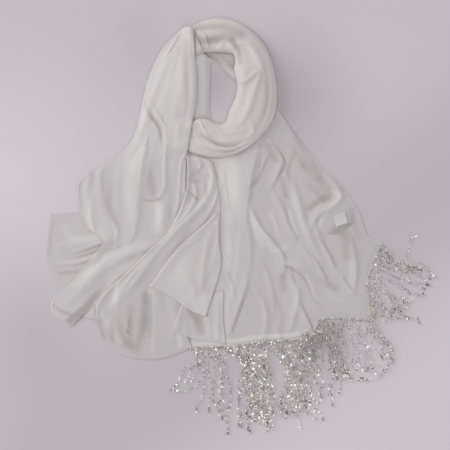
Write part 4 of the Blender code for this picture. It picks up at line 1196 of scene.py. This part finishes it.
# Two rows of beads sewn along the tape itself.
def tapeBeads(part):
    first, last = part["hem"]
    steps = int((last - first) * hemLength / 3.4)
    rows = []
    for row, k in [(row, k) for row in range(2) for k in range(steps)]:
        where = first + (last - first) * (k + 0.5 * row + rand.uniform(-0.2, 0.2)) / steps
        spot = hemPoint(where)
        flat = spot[:2] + hemOut(where) * (1.6 + 1.8 * row + rand.uniform(-0.4, 0.4)) * mm
        size = part["bead"] * rand.uniform(0.7, 1.0)
        rows.append((*flat, spot[2] + (0.9 - 0.3 * row) * mm, 0, 0, rand.uniform(0, 6),
                     size, size, 0.8 * rand.beta(1.2, 0.8)))
    return np.array(rows)


# One faceted bead, turned into a template that every point carries a copy of.
def makeBead():
    bm = bmesh.new()
    bmesh.ops.create_icosphere(bm, subdivisions=1, radius=1.0 * mm)
    mesh = meshFrom(bm, "beadTemplate")
    mesh.materials.append(beadGlass)
    return linked("beadTemplate", mesh)


# Geometry nodes that put a copy of the bead on each point, turned and sized as it says.
def makeStringing(bead):
    tree = bpy.data.node_groups.new("stringBeads", "GeometryNodeTree")
    tree.interface.new_socket("Points", in_out="INPUT", socket_type="NodeSocketGeometry")
    tree.interface.new_socket("Beads", in_out="OUTPUT", socket_type="NodeSocketGeometry")
    points = tree.nodes.new("NodeGroupInput").outputs["Points"]
    template = addNode(tree, "GeometryNodeObjectInfo", {"Object": bead, "As Instance": True})
    inputs = {"Points": points, "Instance": template.outputs["Geometry"]}
    for title, socket in (("turn", "Rotation"), ("girth", "Scale")):
        named = addNode(tree, "GeometryNodeInputNamedAttribute", {"Name": title},
                        data_type="FLOAT_VECTOR")
        inputs[socket] = named.outputs["Attribute"]
    placed = addNode(tree, "GeometryNodeInstanceOnPoints", inputs).outputs["Instances"]
    beads = addNode(tree, "GeometryNodeRealizeInstances", {"Geometry": placed})
    addNode(tree, "NodeGroupOutput", {"Beads": beads.outputs["Geometry"]})
    return tree


bead = makeBead()
stringing = makeStringing(bead)


def stringBeads(name, beads):
    bm = bmesh.new()
    for x, y, z in beads[:, :3]:
        bm.verts.new((x + toCentre[0], y + toCentre[1], z))
    mesh = meshFrom(bm, name + "_points")
    columns = {"turn": ("FLOAT_VECTOR", "vector", [3, 4, 5]),
               "girth": ("FLOAT_VECTOR", "vector", [7, 6, 6]), "tone": ("FLOAT", "value", [8])}
    for title, (kind, field, picks) in columns.items():
        said = mesh.attributes.new(title, kind, "POINT")
        said.data.foreach_set(field, beads[:, picks].astype(np.float32).ravel())
    points = linked(name + "_points", mesh)
    points.modifiers.new("beads", "NODES").node_group = stringing
    piece = meshOf(points, name)
    if not piece.data.materials:
        piece.data.materials.append(beadGlass)
    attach(piece, "root")
    return piece


# The woven tape that carries the beads, from just under the hem's edge down to the floor.
def layTape(name, part):
    first, last = part["hem"]
    shares = np.linspace(first, last, max(8, int((last - first) * hemLength / 3.5)))
    across = np.linspace(0, 1, 4)
    spots = np.empty((len(shares), 4, 3))
    for line, share in zip(spots, shares):
        root = hemPoint(share)
        out = (-0.5 + across[:, None] * fringe["tapeWide"]) * mm
        line[:, :2] = root[:2] + hemOut(share) * out
        line[:, 2] = root[2] * (1 - across) + 0.9 * mm * across
    layersAndPaintedShading = np.full(spots.shape[:2], 0.6)
    piece = gridPiece(name, spots, spots[..., :2] + toCentre, layersAndPaintedShading, chiffonHem, 0.5 * mm, False)
    return piece


fringePieces = []
for title, part in fringe["parts"].items():
    part["name"] = title
    strung, lengths = threadBeads(part)
    strung = np.concatenate([strung, tapeBeads(part)])
    beadPiece = stringBeads("bead_fringe_" + title, strung)
    tape = layTape("bead_tape_" + title, part)
    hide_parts(part["node"])
    fringePieces += [beadPiece, tape]
    print("fringe", title, len(lengths), "strands of", round(min(lengths)), "to",
          round(max(lengths)), "mm, mean", round(np.mean(lengths)), "mm,", len(strung), "beads")
bpy.data.objects.remove(bead, do_unlink=True)


# The floor, with painted shade and light: a broad band of painted shade from the middle right to
# the lower left, a slow painted change of light across it, and a few soft patches (x, y, reach,
# how much darker): the painted shadow cast by the loop to its right, painted shade inside the
# neck hole and beside the left limb, a darker lower left, and a lighter left side where the
# amount is below zero.
def makeFloor(look):
    mat, tree, bsdf = newMaterial("floorWithPaintedShade")
    coords = tree.nodes.new("ShaderNodeTexCoord").outputs["Object"]
    x, y, _ = addNode(tree, "ShaderNodeSeparateXYZ", {0: coords}).outputs
    place = plus(times(x, look["normal"][0]), times(y, look["normal"][1]))
    away = plus(place, look["offset"])
    # a band of painted shade, and painted light that changes slowly across the floor
    band = calc("EXPONENT", times(times(away, away), -1 / look["wide"] ** 2))
    cloudy = times(addNoise(coords, 3.0), 0.15)
    shade = plus(plus(times(band, -look["depth"]), cloudy), times(place, -look["slant"]))
    # soft patches of painted shadow, or of painted light where the amount is below zero
    for spotX, spotY, wide, depth in look["paintedShadePatches"]:
        right = times(calc("SUBTRACT", x, spotX), 1.3)
        above = calc("SUBTRACT", y, spotY)
        square = plus(times(right, right), times(above, above))
        bell = calc("EXPONENT", times(square, -1 / wide**2))
        shade = plus(shade, times(bell, -depth))
    shade = plus(shade, look["base"], clamp=True)
    feed(bsdf, {"Base Color": addRamp(shade, (0.0, look["shade"]), (1.0, look["light"])),
                "Roughness": 0.9, "Specular IOR Level": 0.1})
    return mat


floorLook = {"shade": (0.60, 0.56, 0.588), "light": (0.88, 0.832, 0.866), "normal": (-0.58, 0.81),
             "offset": 0.18, "wide": 0.17, "depth": 0.52, "slant": 0.55, "base": 0.70,
             "paintedShadePatches": [(0.10, 0.245, 0.13, 0.56), (-0.05, 0.29, 0.05, 0.40),
                         (-0.42, -0.22, 0.16, 0.36), (-0.47, 0.10, 0.20, -0.30),
                         (-0.20, 0.35, 0.12, 0.16)]}
floorPlan = {"size": 8.0, "drop": 0.4}
bm = bmesh.new()
bmesh.ops.create_grid(bm, x_segments=8, y_segments=8, size=floorPlan["size"])
bmesh.ops.translate(bm, verts=bm.verts, vec=(0, 0, -floorPlan["drop"] * mm))
floor = linked("floor", meshFrom(bm, "floor"))
floor.data.materials.append(makeFloor(floorLook))

# Each sheet: the node it stands for, its cut in metres (width, length) and how it lies.
cuts = [
    (leftCorner, "left_corner", "chiffon", (0.14, 0.14), "laid", floor),
    (innerTurn, "inner_turn", "chiffon", (0.06, 0.33), "folded", floor),
    (rightTail, "right_tail", "chiffon", (0.32, 0.46), "draped", floor),
    (neckTurn, "neck_turn", "chiffon_folded", (0.10, 0.50), "gathered", "cloth_right_tail"),
    (leftTail, "left_tail", "chiffon", (0.15, 0.64), "draped", "cloth_neck_turn"),
    (centreFall, "centre_fall", "chiffon", (0.12, 0.46), "draped", "cloth_left_tail"),
    (centreFlap, "centre_flap", "chiffon", (0.085, 0.085), "folded", "cloth_centre_fall"),
    (pointFlap, "point_flap", "chiffon", (0.10, 0.20), "folded", "cloth_centre_fall"),
    (careLabel, "label", "label_satin", (0.024, 0.026), "laid", "cloth_right_tail"),
]
for laid, node, slot, flat, held, under in cuts:
    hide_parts(node)
